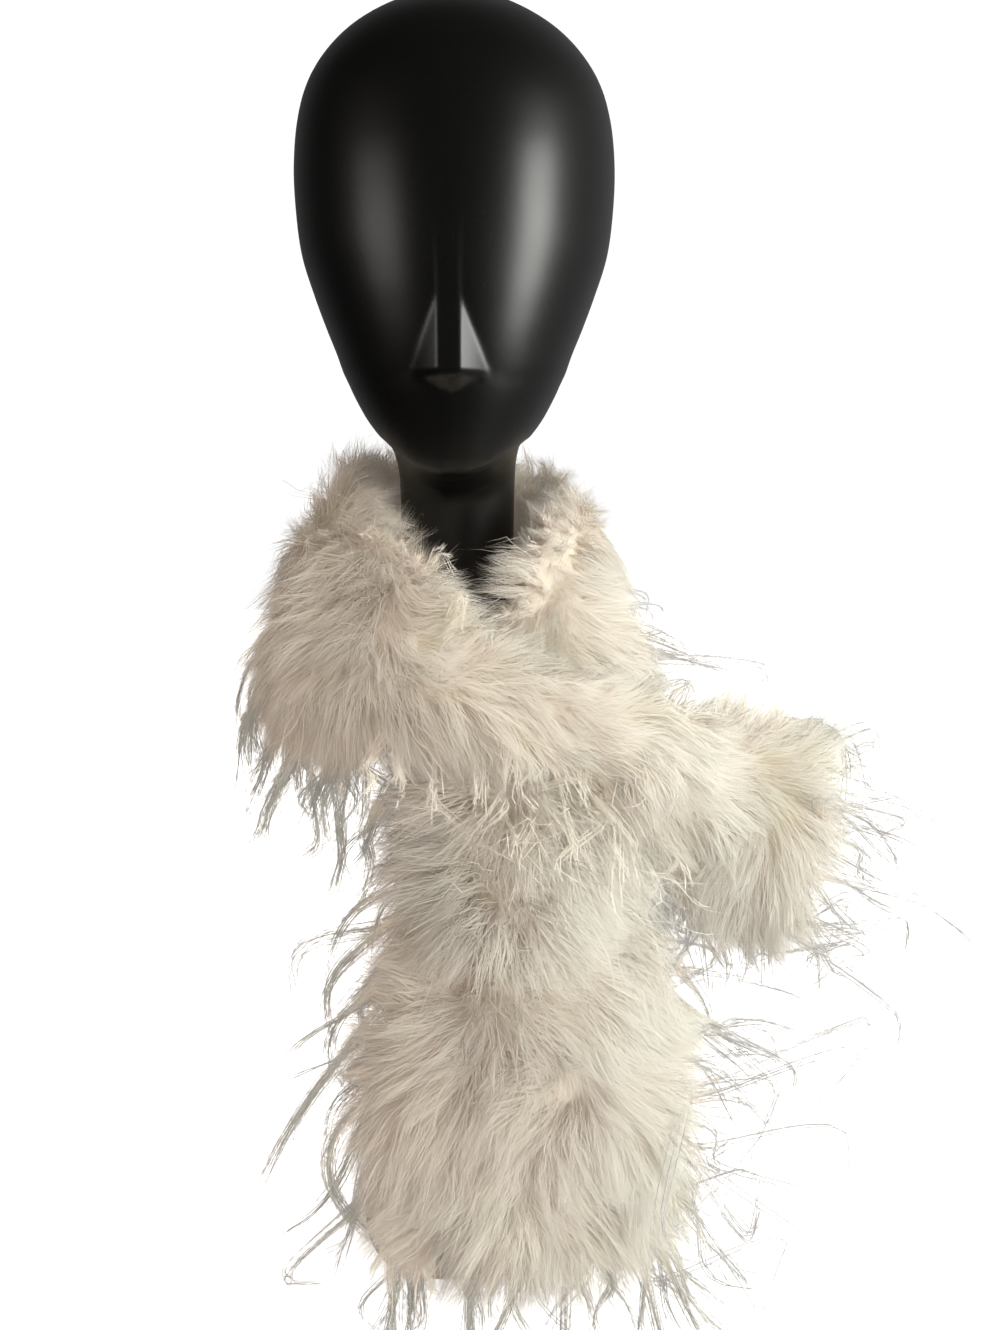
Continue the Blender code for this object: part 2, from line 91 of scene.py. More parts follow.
# %% Wrap a socket
class Wire:
    """One output socket of a node tree, which takes part in sums."""

    def __init__(self, graph, socket):
        self.graph, self.socket = graph, socket

    def maths(self, operation, *others):
        values = dict(enumerate((self,) + others))
        return self.graph.add("ShaderNodeMath", {"operation": operation}, values)

    def turned(self, operation, other):
        return self.graph.add("ShaderNodeMath", {"operation": operation}, {0: other, 1: self})

    def __add__(self, other):
        return self.maths("ADD", other)

    def __sub__(self, other):
        return self.maths("SUBTRACT", other)

    def __mul__(self, other):
        return self.maths("MULTIPLY", other)

    def __pow__(self, other):
        return self.maths("POWER", other)

    def __lt__(self, other):
        return self.maths("LESS_THAN", other)

    def __rsub__(self, other):
        return self.turned("SUBTRACT", other)

    __radd__ = __add__
    __rmul__ = __mul__

    def other(self, name):
        """Another output of the same node."""
        return Wire(self.graph, self.graph.socket_of(self.socket.node.outputs, name))


class Graph:
    """A node tree, with one method that adds any node."""

    def __init__(self, tree):
        self.tree = tree

    def socket_of(self, sockets, name):
        if isinstance(name, int):
            return sockets[name]
        return next(one for one in sockets if one.name == name and not one.is_unavailable)

    def add(self, kind, settings=None, values=None, out=0):
        node = self.tree.nodes.new(kind)
        for name, value in (settings or {}).items():
            setattr(node, name, value)
        for name, value in (values or {}).items():
            socket = self.socket_of(node.inputs, name)
            if isinstance(value, Wire):
                self.tree.links.new(value.socket, socket)
            else:
                socket.default_value = value
        free = [one for one in node.outputs if not one.is_unavailable]
        return Wire(self, free[out] if isinstance(out, int) else self.socket_of(node.outputs, out))

    def vector(self, operation, first, second, out="Vector"):
        return self.add("ShaderNodeVectorMath", {"operation": operation}, {0: first, 1: second}, out)

    def stretched(self, vector, factor):
        """A vector times a number."""
        return self.add("ShaderNodeVectorMath", {"operation": "SCALE"}, {0: vector, "Scale": factor}, "Vector")

    def mixed(self, share, first, second):
        """One colour blended into another."""
        settings = {"data_type": "RGBA", "blend_type": "MIX"}
        return self.add("ShaderNodeMix", settings, {"Factor": share, "A": first, "B": second}, "Result")


print("helpers ready")

# %% [markdown]
# Materials
#
# Four finishes show. The head form is black plastic with a soft gloss, so its colour says little and its
# roughness and faint unevenness say everything. The stand is painted steel. The cloth of the scarf and its
# barbs are ivory. Barbs carry painted shade at their roots, darker and warmer where light hardly gets, are
# palest at the tip and give off a faint painted glow. A barb reads how far it is along itself from an
# attribute of its mesh, which stays right wherever it goes.

# %% Start a material
def start_material(name, fixed):
    """A new material, its graph and its Principled shader, with what is the same all over set on sockets."""
    material = bpy.data.materials.new(name)
    material.use_nodes = True
    shader = material.node_tree.nodes["Principled BSDF"]
    for socket, value in fixed.items():
        shader.inputs[socket].default_value = value
    return material, Graph(material.node_tree), shader


def feed(graph, shader, **wires):
    for name, wire in wires.items():
        graph.tree.links.new(wire.socket, shader.inputs[name.replace("_", " ")])


def place_on_object(graph):
    return graph.add("ShaderNodeTexCoord", out="Object")


def noise(graph, vector, scale, detail=2.0):
    return graph.add("ShaderNodeTexNoise", None, {"Vector": vector, "Scale": scale, "Detail": detail}, "Fac")


# %% Make the finish of the head form
def make_gloss_black():
    material, graph, shader = start_material("head_gloss", {"Specular IOR Level": 0.5})
    place = place_on_object(graph)
    smudges = noise(graph, place, 14.0, 3.0)
    dust = noise(graph, place, 900.0, 1.0)
    colour = graph.mixed(dust ** 6.0, (0.003, 0.0032, 0.0032, 1), (0.02, 0.02, 0.02, 1))
    peel = noise(graph, place, 260.0)
    bump = graph.add("ShaderNodeBump", None, {"Strength": 0.02, "Distance": 0.001, "Height": peel})
    feed(graph, shader, Base_Color=colour, Roughness=0.30 + smudges * 0.10, Normal=bump)
    return material


def make_black_steel():
    material, graph, shader = start_material("stand_enamel", {"Specular IOR Level": 0.5})
    place = place_on_object(graph)
    grain, cloud = noise(graph, place, 700.0), noise(graph, place, 25.0, 3.0)
    colour = graph.mixed(cloud, (0.014, 0.014, 0.015, 1), (0.028, 0.028, 0.030, 1))
    bump = graph.add("ShaderNodeBump", None, {"Strength": 0.12, "Distance": 0.0005, "Height": grain})
    feed(graph, shader, Base_Color=colour, Roughness=0.34 + grain * 0.12, Normal=bump)
    return material


gloss_black = make_gloss_black()
black_steel = make_black_steel()
print("finishes:", gloss_black.name, black_steel.name)

# %% Make the finishes of the scarf
# Painted shade: the pink and gold darken the barbs' roots and the cloth between streaks, in two tones. The two greys
# are painted shade at the tips of free barbs, darker on the edge rows and left plumes, paler on the rest
PAINTED_SHADE_PINK = (0.90, 0.80, 0.71, 1)
PAINTED_SHADE_GOLD = (0.86, 0.79, 0.62, 1)
WARM_IVORY = (0.95, 0.88, 0.79, 1)
COOL_IVORY = (0.95, 0.95, 0.88, 1)
DARK_TIP_SHADE = (0.46, 0.46, 0.435, 1)
PALE_TIP_SHADE = (0.53, 0.53, 0.535, 1)

# What makes a tuft's tone cooler: its own tint, each metre to the right, which is painted light on the right
# and painted shade on the left, and a slow noise less a little
TONE_OF_TINT = 0.5
PAINTED_LIGHT_ACROSS = 4.0
TONE_OF_NOISE = 1.3
TONE_LESS = 0.6


def make_pelt():
    """The cloth below the down: ivory streaks of lying barbs drawn along its comb, with painted shade, pink or gold,
    between them.
    """
    material, graph, shader = start_material("scarf_pelt", {"Roughness": 0.9, "Sheen Weight": 0.2})
    place = place_on_object(graph)
    around = graph.add("ShaderNodeUVMap", {"uv_map": "strip"})
    streaks = noise(graph, graph.vector("MULTIPLY", around, (900.0, 90.0, 1.0)), 1.0, 3.0)
    clouds = noise(graph, place, 22.0)
    # Painted shade between the streaks, pink or gold as a slow noise picks
    colour = graph.mixed(streaks, graph.mixed(clouds, PAINTED_SHADE_PINK, PAINTED_SHADE_GOLD), WARM_IVORY)
    bump = graph.add("ShaderNodeBump", None, {"Strength": 0.5, "Distance": 0.002, "Height": streaks})
    feed(graph, shader, Base_Color=colour, Normal=bump)
    return material


def clamped(graph, first, second, operation="ADD"):
    return graph.add("ShaderNodeMath", {"operation": operation, "use_clamp": True}, {0: first, 1: second})


def make_barbs(name, painted_glow, tip=None, tip_shade_share=0.0):
    """Barbs: warm and dark with painted shade at the root, pale further out, each tuft a little unlike its neighbours.

    Tufts further to the right are painted cooler, as if lit, and those to the left warmer, as if in shade. The
    painted glow is light given off in the barb's own colour, which lifts its dark side as light through thin
    barbs would. Free locks also turn towards a grey of painted shade at the tip by a share.
    """
    fixed = {"Roughness": 0.72, "Sheen Weight": 0.25, "Sheen Roughness": 0.5, "Specular IOR Level": 0.35,
             "Emission Strength": painted_glow}
    material, graph, shader = start_material(name, fixed)
    along = graph.add("ShaderNodeAttribute", {"attribute_name": "along"}, out="Fac")
    tint = graph.add("ShaderNodeAttribute", {"attribute_name": "tint"}, out="Fac")
    place = place_on_object(graph)
    across = graph.add("ShaderNodeSeparateXYZ", None, {"Vector": place}, "X")
    # Painted light and shade: cooler to the right, as if lit, warmer to the left; tint and noise are the down's own
    # tone
    cooler = tint * TONE_OF_TINT + across * PAINTED_LIGHT_ACROSS
    tone = clamped(graph, cooler, noise(graph, place, 16.0) * TONE_OF_NOISE - TONE_LESS)
    pale = graph.mixed(tone, WARM_IVORY, COOL_IVORY)
    # Painted shade at the root, pink in some places and gold in others
    spots = clamped(graph, noise(graph, place, 30.0) * 5.0, -2.4)
    root_shade = graph.mixed(spots, PAINTED_SHADE_PINK, PAINTED_SHADE_GOLD)
    colour = graph.mixed(clamped(graph, along, 1.5, "MULTIPLY"), root_shade, pale)
    # Painted shade: free locks turn grey towards the tip
    if tip_shade_share:
        colour = graph.mixed(clamped(graph, along, 2.0, "MULTIPLY") * tip_shade_share, colour, tip)
    # Painted glow: the colour is also given off as light
    feed(graph, shader, Base_Color=colour, Emission_Color=colour)
    return material


ivory_pelt = make_pelt()
# Each barb finish gives off a painted glow; the edge and pale-shade finishes also turn to painted shade grey at the
# tips
ivory_down = make_barbs("scarf_down", 0.03)
ostrich_barbs = make_barbs("free_barbs", 0.12)
ostrich_edge = make_barbs("edge_barbs", 0.14, DARK_TIP_SHADE, 0.9)
ostrich_pale_shade = make_barbs("mist_barbs", 0.16, PALE_TIP_SHADE, 0.95)
print("finishes:", ivory_pelt.name, ivory_down.name, ostrich_barbs.name, ostrich_edge.name, ostrich_pale_shade.name)

# %% [markdown]
# The head form
#
# The real form is moulded in one piece: an egg with a straight nose, a sharp line under the jaw and a slim
# neck. It could be sculpted from a sphere, but its rings are known, so the egg is lofted through a short
# table of them, read as a smooth curve. The nose is a wedge that is added on top, with a flat underside.
# The points lie closer together over the face, where the nose needs them.

# %% Read a smooth curve through a table
def smooth_between(values, place):
    """A smooth curve through evenly spaced values, read at a place counted in values."""
    start = min(int(place), len(values) - 2)
    share = place - start
    before = values[max(start - 1, 0)]
    first, second = values[start], values[start + 1]
    after = values[min(start + 2, len(values) - 1)]
    return 0.5 * (
        2 * first
        + (second - before) * share
        + (2 * before - 5 * first + 4 * second - after) * share**2
        + (3 * first - before - 3 * second + after) * share**3
    )


def read_table(table, field, place):
    """One column of a table, read as a smooth curve at a place counted in rows."""
    return smooth_between([getattr(row, field) for row in table], place)


def smooth_step(value):
    value = min(max(value, 0.0), 1.0)
    return value * value * (3 - 2 * value)


# How far ahead a curve through a table is read to find out where it leads
LOOK_AHEAD = 0.05
print("between 1 and 2:", smooth_between([0, 1, 2, 3], 1.5))

# %% Describe the head form
# z: height at the front of the ring; wide: half width; front, back: reach along Y;
# rise: how much higher the ring runs at its sides and back. Millimetres
HeadRing = namedtuple("HeadRing", "z wide front back rise")
HEAD = [HeadRing(*numbers) for numbers in (
    (686.5, 8.4, -16, 10, 0),
    (684, 21.8, -31, 26, 0),
    (677.5, 39, -50, 45, 0),
    (665, 57.3, -71, 65, 0),
    (649, 70.4, -86, 80, 0),
    (631, 77, -95, 89, 0),
    (608, 79.5, -100.5, 92, 0),
    (585, 78.5, -103, 88, 0),
    (565, 75.5, -103.5, 80, 0),
    (546, 69.3, -102, 68, 0),
    (530, 63.2, -99.5, 57, 0),
    (518, 58.2, -97, 48, 0),
    (509, 55, -94.5, 43, 0),
    (504, 52.6, -93, 40, 0),
    (497, 49.4, -91, 37, 0),
    (487, 44, -87.5, 34, 0),
    (475, 38.2, -83, 32, 4),
    (464, 34.6, -78.5, 31, 12),
    (460, 32.4, -74, 30, 14),
    (456, 31, -55, 29.5, 12),
    (450, 30.3, -36, 29, 10),
    (438, 29.8, -31, 28.5, 4),
    (415, 29.5, -30, 28, 0),
    (392, 30, -30.5, 30, 0),
    (380, 32, -31.5, 35, 0),
    (374, 37, -33, 48, 0),
    (372, 46, -34, 70, 0),
    (368, 50, -36, 76, 0),
    (356, 50, -36, 76, 0),
    (352, 46, -33, 72, 0),
)]
HEAD_POINTS = 120
HEAD_STEP = 2.7 * MM
HEAD_ASIDE = 1.6 * MM
FACE_CROWDING = 0.11
print("head form:", len(HEAD), "rings in the table")

# %% Describe the face
# The nose: a flat back between two straight flanks, which broaden below one height, and a slanted underside
NOSE_TOP = 585 * MM
NOSE_BROADENS = 537 * MM
NOSE_TIP = 505 * MM
NOSE_FOOT = 496 * MM
NOSE_BACK = 5.0 * MM
NOSE_NARROW = 5.7 * MM
NOSE_WIDE = 18.0 * MM
NOSE_SLOPE = 0.66

# A faint keel runs down from the nose over the chin
CHIN_KEEL = 1.0 * MM
CHIN_HALF = 26 * MM
CHIN_FOOT = 462 * MM
CHIN_FADE = 20 * MM


def nose_out(x, z):
    """How far the nose stands out of the egg at a place on the face."""
    broad = min(max((NOSE_BROADENS - z) / (NOSE_BROADENS - NOSE_TIP), 0.0), 1.0)
    half = NOSE_NARROW + (NOSE_WIDE - NOSE_NARROW) * broad
    flank = min(max((half - abs(x)) / (half - NOSE_BACK), 0.0), 1.0)
    ridge = NOSE_SLOPE * (half - NOSE_BACK) * smooth_step((NOSE_TOP - z) / (NOSE_TOP - NOSE_BROADENS))
    if z >= NOSE_TIP:
        return ridge * flank
    reach = (NOSE_TIP - NOSE_FOOT) * max(1 - abs(x) / NOSE_WIDE, 0.05)
    under = max(0.0, 1 - (NOSE_TIP - z) / reach)
    keel = CHIN_KEEL * max(0.0, 1 - abs(x) / CHIN_HALF) * smooth_step((z - CHIN_FOOT) / CHIN_FADE)
    return max(ridge * flank * under, keel)


def head_places():
    """Places in the table, so close that the rings lie about one step apart down the surface."""
    places, place = [0.0], 0.0
    while place < len(HEAD) - 1:
        ahead = min(place + LOOK_AHEAD, len(HEAD) - 1)
        here, there = ([read_table(HEAD, field, at) for field in ("z", "front", "wide")] for at in (place, ahead))
        speed = max(math.dist(here, there) * MM / max(ahead - place, 1e-6), 1e-6)
        place = min(place + HEAD_STEP / speed, len(HEAD) - 1)
        places.append(place)
    return places


def head_points(place):
    read = {field: read_table(HEAD, field, place) * MM for field in HeadRing._fields}
    middle = 0.5 * (read["front"] + read["back"])
    points = []
    for index in range(HEAD_POINTS):
        turn = index / HEAD_POINTS
        angle = 2 * math.pi * turn - 2 * math.pi * FACE_CROWDING * math.sin(2 * math.pi * turn)
        x = read["wide"] * math.sin(angle)
        facing = math.cos(angle) > 0
        reach = (middle - read["front"]) if facing else (read["back"] - middle)
        y = middle - reach * math.cos(angle)
        z = read["z"] + read["rise"] * (math.sin(angle) ** 2 if facing else 1.0)
        if facing:
            y -= nose_out(x, z)
        points.append((x + HEAD_ASIDE, y, z))
    return points


# %% Build the head form
def mesh_from(name, points, faces):
    mesh = bpy.data.meshes.new(name)
    mesh.from_pydata(points, [], faces)
    mesh.validate()
    mesh.shade_smooth()
    return mesh


def show(name, mesh, material):
    """An object at the origin for a mesh that already lies in its place."""
    mesh.materials.clear()
    mesh.materials.append(material)
    thing = bpy.data.objects.new(name, mesh)
    bpy.context.scene.collection.objects.link(thing)
    return thing


def loft_faces(rows, count, closed_start, closed_end):
    faces = []
    for row in range(rows - 1):
        for index in range(count):
            after = (index + 1) % count
            faces.append((row * count + index, (row + 1) * count + index,
                          (row + 1) * count + after, row * count + after))
    if closed_start:
        faces.append(tuple(range(count)))
    if closed_end:
        faces.append(tuple(reversed(range((rows - 1) * count, rows * count))))
    return faces


def make_head():
    places = head_places()
    points = [point for place in places for point in head_points(place)]
    mesh = mesh_from("head_form_surface", points, loft_faces(len(places), HEAD_POINTS, True, True))
    head = show("head_form_surface", mesh, gloss_black)
    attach(head, BODY)
    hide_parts("head_form")
    return head


head = make_head()
print("head form:", len(head.data.polygons), "faces")

# %% Finish the stand
for name in ("stand_column", "stand_base"):
    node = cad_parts[name]
    node.data.materials.clear()
    node.data.materials.append(black_steel)
print("stand finished")

# %% [markdown]
# The path of the scarf
#
# The strip is described by a short table: where its middle is, how wide and thick it is, which way its outer
# face looks and how far it is tipped up. The same table made the solids, so everything that is built on it
# lies where they lie. Each stretch between two seams is a piece of cloth of its own.

# %% Describe the strip
Section = namedtuple("Section", "part x y z wide thick face tilt")
STRETCHES = {
    "scarf_side_tail": [
        (178, -92, 288, 36, 10, 0, 0),
        (167, -95, 291, 55, 20, 0, 4),
        (145, -100, 297, 60, 26, 0, 6),
        (118, -107, 310, 53, 25, 0, 6),
    ],
    "scarf_left_band": [
        (90, -114, 325, 44, 22, 0, 4),
        (62, -120, 342, 39, 21, 0, 2),
        (31, -123, 351, 37, 21, 0, 2),
        (0, -118, 359, 44, 22, 0, 5),
        (-26, -106, 368, 55, 23, 4, 8),
        (-45, -86, 378, 62, 24, 14, 12),
        (-56, -62, 395, 56, 24, 34, 18),
        (-61, -32, 411, 48, 23, 62, 20),
    ],
    "scarf_back": [
        (-62, 4, 421, 46, 22, 90, 16),
        (-52, 40, 423, 49, 22, 130, 8),
        (-26, 62, 423, 51, 23, 160, 4),
        (4, 68, 423, 51, 23, 182, 2),
        (36, 61, 422, 49, 23, 206, 4),
        (58, 38, 420, 47, 22, 236, 8),
    ],
    "scarf_right_band": [
        (65, 4, 417, 44, 22, 270, 16),
        (62, -30, 408, 44, 21, 298, 18),
        (58, -54, 391, 45, 20, 328, 14),
        (58, -66, 366, 48, 19, 352, 6),
    ],
    "scarf_front_tail": [
        (54, -67, 336, 54, 19, 360, 0),
        (45, -69, 304, 68, 20, 360, 0),
        (39, -78, 262, 70, 25, 360, 2),
        (37, -85, 218, 76, 27, 360, 2),
        (35, -88, 168, 85, 27, 360, 0),
        (36, -88, 118, 88, 25, 360, 0),
        (37, -87, 80, 82, 22, 360, 0),
        (37, -86, 63, 68, 15, 360, 0),
    ],
}
SCARF = [Section(part, *numbers) for part, rows in STRETCHES.items() for numbers in rows]
PARTS = list(STRETCHES)
LAST = len(SCARF) - 1
RING_POINTS = 48
ROWS_PER_SECTION = 6
LUMP = 3.2 * MM

# The cloth starts and ends inside the down, drawn in at both ends, and stays above the form's shoulders
FIRST_PLACE = 1.3
LAST_PLACE = LAST - 0.85
FIRST_SQUEEZES = (0.8, 0.95)
LAST_SQUEEZES = (0.97, 0.92, 0.74)
CLOTH_BOTTOM = 374 * MM

# How far the cloth is set in from the solid's upper edge, lower edge and face, place by place, in millimetres.
# Under the crossing the lower edge is folded in, and the tail's face stands out to meet it
INSET_PLACES = (0, 1.9, 2.9, 3.8, 5.5, 7.2, 9, 19, 22, 22.6, 23.1, 23.8, 25, 26.5, 29)
UPPER_INSETS = (12, 11, 11, 12, 12, 12, 12, 13, 17, 17, 17, 17, 17, 17, 17)
LOWER_INSETS = (17, 17, 17, 31, 33, 27, 18, 17, 17, 17, 17, 17, 17, 17, 17)
FACE_INSETS = (9, 2, 20, 13, 9, 9, 9, 9, -3, -13, -17, -12, 0, 9, 9)
BODY_SIDE_INSET = 9 * MM
print("sections of the strip:", len(SCARF))


# %% Find a place along the strip
def middle_at(place):
    return Vector([read_table(SCARF, axis, place) * MM for axis in "xyz"])


def between(place, places, values):
    """A number that is given at some places along the strip, read in a straight line between them."""
    return float(np.interp(place, places, values))


class Station:
    """One place along the strip: its middle, its directions and half its size."""

    def __init__(self, place):
        ahead, behind = min(place + LOOK_AHEAD, LAST), max(place - LOOK_AHEAD, 0)
        turn, lift = (math.radians(read_table(SCARF, field, place)) for field in ("face", "tilt"))
        looks = Vector((-math.sin(turn) * math.cos(lift), -math.cos(turn) * math.cos(lift), math.sin(lift)))
        self.place = place
        self.middle = middle_at(place)
        self.along = (middle_at(ahead) - middle_at(behind)).normalized()
        self.out = (looks - self.along * looks.dot(self.along)).normalized()
        self.side = self.along.cross(self.out)
        self.wide = read_table(SCARF, "wide", place) * MM
        self.thick = read_table(SCARF, "thick", place) * MM
        self.upper = self.wide - between(place, INSET_PLACES, UPPER_INSETS) * MM
        self.lower = self.wide - between(place, INSET_PLACES, LOWER_INSETS) * MM
        self.front = self.thick - between(place, INSET_PLACES, FACE_INSETS) * MM
        self.back = self.thick - BODY_SIDE_INSET

    def point(self, angle, squeeze=1.0):
        """A point of the cloth. At 0 degrees it is on the upper edge, and at 90 degrees on the outer face."""
        across, through = math.cos(angle), math.sin(angle)
        slant = angle * 5 + 1.3 * math.sin(self.place * 1.9)
        waves = 0.6 * math.sin(slant) + 0.4 * math.sin(angle * 9 - self.place * 2.7 + 1.0)
        lump = LUMP * waves * min(1.0, 2 * abs(through))
        reach = self.upper if across > 0 else self.lower
        point = self.middle + self.side * reach * across * squeeze
        point += self.out * (self.front if through > 0 else self.back) * through * squeeze
        return point + (self.side * across + self.out * through) * lump * squeeze


def span_of(part):
    """The first and last place of one stretch's cloth. It runs on to the next stretch, or ends inside the down."""
    rows = [number for number, row in enumerate(SCARF) if row.part == part]
    return max(rows[0], FIRST_PLACE), min(rows[-1] + 1, LAST_PLACE)


print("stretches:", {part: span_of(part) for part in PARTS})

# %% [markdown]
# How the barbs lie
#
# Feathers on a scarf are parted along a line and combed towards both edges, and their own weight pulls them
# down. So every point of the cloth gets a direction: away from the parting, out of the cloth by a lift, down
# by a droop and, at the ends of the strip, on past the end. It is stored as an attribute of the mesh, which
# Geometry Nodes carry over to every barb that grows there.

# %% Say how each stretch is combed
# parting: where the comb parts, in degrees round the strip; onward: lean along the strip at the start and end
# of the stretch; middle: more lean beside the parting; droop: pull of the weight; lift: how steeply barbs leave
# the cloth; long: their length in millimetres
Comb = namedtuple("Comb", "parting onward middle droop lift long")
COMBS = {
    "scarf_side_tail": Comb(80, (-1.1, -0.7), -0.6, 0.12, 0.42, 33),
    "scarf_left_band": Comb(62, (-0.9, 0.25), -0.9, 0.30, 0.40, 32),
    "scarf_back": Comb(60, (0.0, 0.0), 0.3, 0.20, 0.42, 32),
    "scarf_right_band": Comb(50, (0.1, 0.5), 0.6, 0.30, 0.42, 31),
    "scarf_front_tail": Comb(90, (0.15, 0.35), 0.7, 0.50, 0.42, 35),
}
BACK_PARTING = 270
PARTING_WAVE = 20
SWIRL_SIZE = 36 * MM

# How the length of the down and its lift vary along the strip, place by place
PILE_PLACES = (0, 2, 4, 6.5, 8.5, 15.5, 16.5, 19, 20.5, 22.8, 24.5, 26, 28)
PILE_LENGTHS = (0.72, 0.8, 0.96, 0.94, 1.0, 1.0, 0.62, 0.62, 1.0, 1.4, 1.1, 1.0, 0.9)
PILE_LIFTS = (0.0, 0.0, 0.0, 0.0, 0.0, 0.0, 0.0, 0.0, 0.0, 0.8, 0.3, 0.0, 0.0)
PILE_AT_EDGES = 0.82
EDGES_FROM = 0.7

# How sharply the down parts, how much steeper it stands beside a parting and in a whorl, and how it is pulled
# down over the end of the strip: how strongly and from how many sections before the end
PARTING_SHARP = 1.9
LIFT_AT_PARTING = 0.25
LIFT_IN_WHORL = 0.3
END_PULL = 1.2
END_REACH = 1.6

# Below the crossing, where the tail's down meets it, the down is shorter
CROSSING_PLACES = (2.6, 3.8, 8.4, 9.6)
CROSSING_LENGTHS = (1.0, 0.5, 0.5, 1.0)

# Where the down of the front tail stands apart in a whorl: x, z and radius in millimetres, and how strongly
Whorl = namedtuple("Whorl", "x z radius strength")
WHORLS = (Whorl(26, 268, 44, 2.2), Whorl(14, 214, 34, 1.6), Whorl(60, 170, 36, 0.7), Whorl(30, 322, 30, 1.4))
WHORL_HOLD = 0.9
print("combs:", len(COMBS), "whorls:", len(WHORLS))


# %% Work out how barbs grow at one point
def swirl_at(point):
    """A slow, uneven turn of the comb, in radians."""
    x, y, z = (value / SWIRL_SIZE for value in point)
    return 0.58 * math.sin(1.3 * x + 2.1 * z + 1.7 * math.sin(0.9 * y + x)) + 0.45 * math.sin(2.9 * x - 1.9 * z + y)


def part_round_whorls(flow, place):
    """Lead the comb away from the middle of each whorl. Also how far the down is opened there."""
    opened = 0.0
    for whorl in WHORLS:
        apart = Vector((place.x - whorl.x * MM, 0, place.z - whorl.z * MM))
        off = apart.length / (whorl.radius * MM)
        hold = whorl.strength * smooth_step(1.4 - off)
        flow = flow * (1 - min(hold, WHORL_HOLD)) + apart.normalized() * hold
        opened = max(opened, hold * smooth_step(1 - off))
    return flow, opened


def pile_at(place, angle):
    """How long the down is: less at the strip's edges and on the lower edge under the crossing."""
    pile = between(place, PILE_PLACES, PILE_LENGTHS)
    pile *= 1 - (1 - PILE_AT_EDGES) * smooth_step((abs(math.cos(angle)) - EDGES_FROM) / 0.3)
    return pile * (1 - smooth_step(-math.cos(angle)) * (1 - between(place, CROSSING_PLACES, CROSSING_LENGTHS)))


# What one point of the cloth tells the barbs that grow there
Growth = namedtuple("Growth", "comb wild pile")


def growth_at(station, angle, comb, share):
    """Which way barbs grow at one point of the cloth, how unevenly and how long."""
    normal = (station.side * math.cos(angle) / station.wide + station.out * math.sin(angle) / station.thick)
    normal.normalize()
    wave = 0.6 * math.sin(1.7 * station.place + 1) + 0.4 * math.sin(4.1 * station.place)
    parting = math.radians(comb.parting + PARTING_WAVE * wave if math.sin(angle) > 0 else BACK_PARTING)
    spread = max(-1.0, min(1.0, PARTING_SHARP * math.sin(parting - angle)))
    beside = 1 - abs(spread)
    onward = comb.onward[0] + (comb.onward[1] - comb.onward[0]) * share + comb.middle * beside
    flow = station.along.cross(normal).normalized() * spread + station.along * onward + Vector((0, 0, -comb.droop))
    flow += Vector((0, 0, -END_PULL)) * smooth_step((station.place - LAST_PLACE + END_REACH) / END_REACH)
    point = station.point(angle)
    opened = 0.0
    if comb is COMBS["scarf_front_tail"] and math.sin(angle) > 0:
        flow, opened = part_round_whorls(flow, point)
    flow -= normal * flow.dot(normal)
    flow = flow.normalized() if flow.length > 1e-6 else station.side.copy()
    turn = swirl_at(point)
    flow = flow * math.cos(turn) + normal.cross(flow) * math.sin(turn)
    lift = comb.lift + LIFT_AT_PARTING * beside + LIFT_IN_WHORL * opened
    lift += between(station.place, PILE_PLACES, PILE_LIFTS)
    return Growth((flow + normal * lift).normalized(), beside, pile_at(station.place, angle))


print("tail, outer face:", growth_at(Station(25), math.pi / 2, COMBS["scarf_front_tail"], 0.5))


# %% Make the cloth
def cloth_of(part):
    """The cloth of one stretch: rings of points set in from the solid, closed at a tail's end."""
    first, last = span_of(part)
    comb = COMBS[part]
    count = round((last - first) * ROWS_PER_SECTION)
    stations = [Station(first + (last - first) * row / count) for row in range(count + 1)]
    squeezes = [1.0] * len(stations)
    if first == FIRST_PLACE:
        squeezes[: len(FIRST_SQUEEZES)] = FIRST_SQUEEZES
    if last == LAST_PLACE:
        squeezes[-len(LAST_SQUEEZES) :] = LAST_SQUEEZES
    points, growths = [], []
    for row, (station, squeeze) in enumerate(zip(stations, squeezes)):
        for index in range(RING_POINTS):
            angle = (index + 0.5) * 2 * math.pi / RING_POINTS
            point = station.point(angle, squeeze)
            if part == "scarf_back":
                point.z = max(point.z, CLOTH_BOTTOM)
            points.append(point)
            growths.append(growth_at(station, angle, comb, row / count))
    faces = loft_faces(len(stations), RING_POINTS, first == FIRST_PLACE, last == LAST_PLACE)
    return points, growths, faces, stations


def make_cloth(part):
    points, growths, faces, stations = cloth_of(part)
    mesh = mesh_from(part.replace("scarf", "cloth"), points, faces)
    attribute = mesh.attributes.new("comb", "FLOAT_VECTOR", "POINT")
    attribute.data.foreach_set("vector", [value for growth in growths for value in growth.comb])
    for field in ("wild", "pile"):
        values = [getattr(growth, field) for growth in growths]
        mesh.attributes.new(field, "FLOAT", "POINT").data.foreach_set("value", values)
    length = sum((after.middle - before.middle).length for before, after in zip(stations, stations[1:]))
    girths = [math.pi * math.sqrt(((one.upper + one.lower) ** 2 / 4 + one.back**2) * 2) for one in stations]
    girth = sum(girths) / len(girths)
    strip = mesh.uv_layers.new(name="strip")
    for face in mesh.polygons:
        for loop in face.loop_indices:
            row, index = divmod(mesh.loops[loop].vertex_index, RING_POINTS)
            strip.data[loop].uv = (index / RING_POINTS * girth, row / len(stations) * length)
    cloth = show(mesh.name, mesh, ivory_pelt)
    return cloth, girth, length


cloths = {}
for part in PARTS:
    cloths[part] = make_cloth(part)
    print(f"{part}: girth {cloths[part][1] * 1000:.0f} mm, length {cloths[part][2] * 1000:.0f} mm")

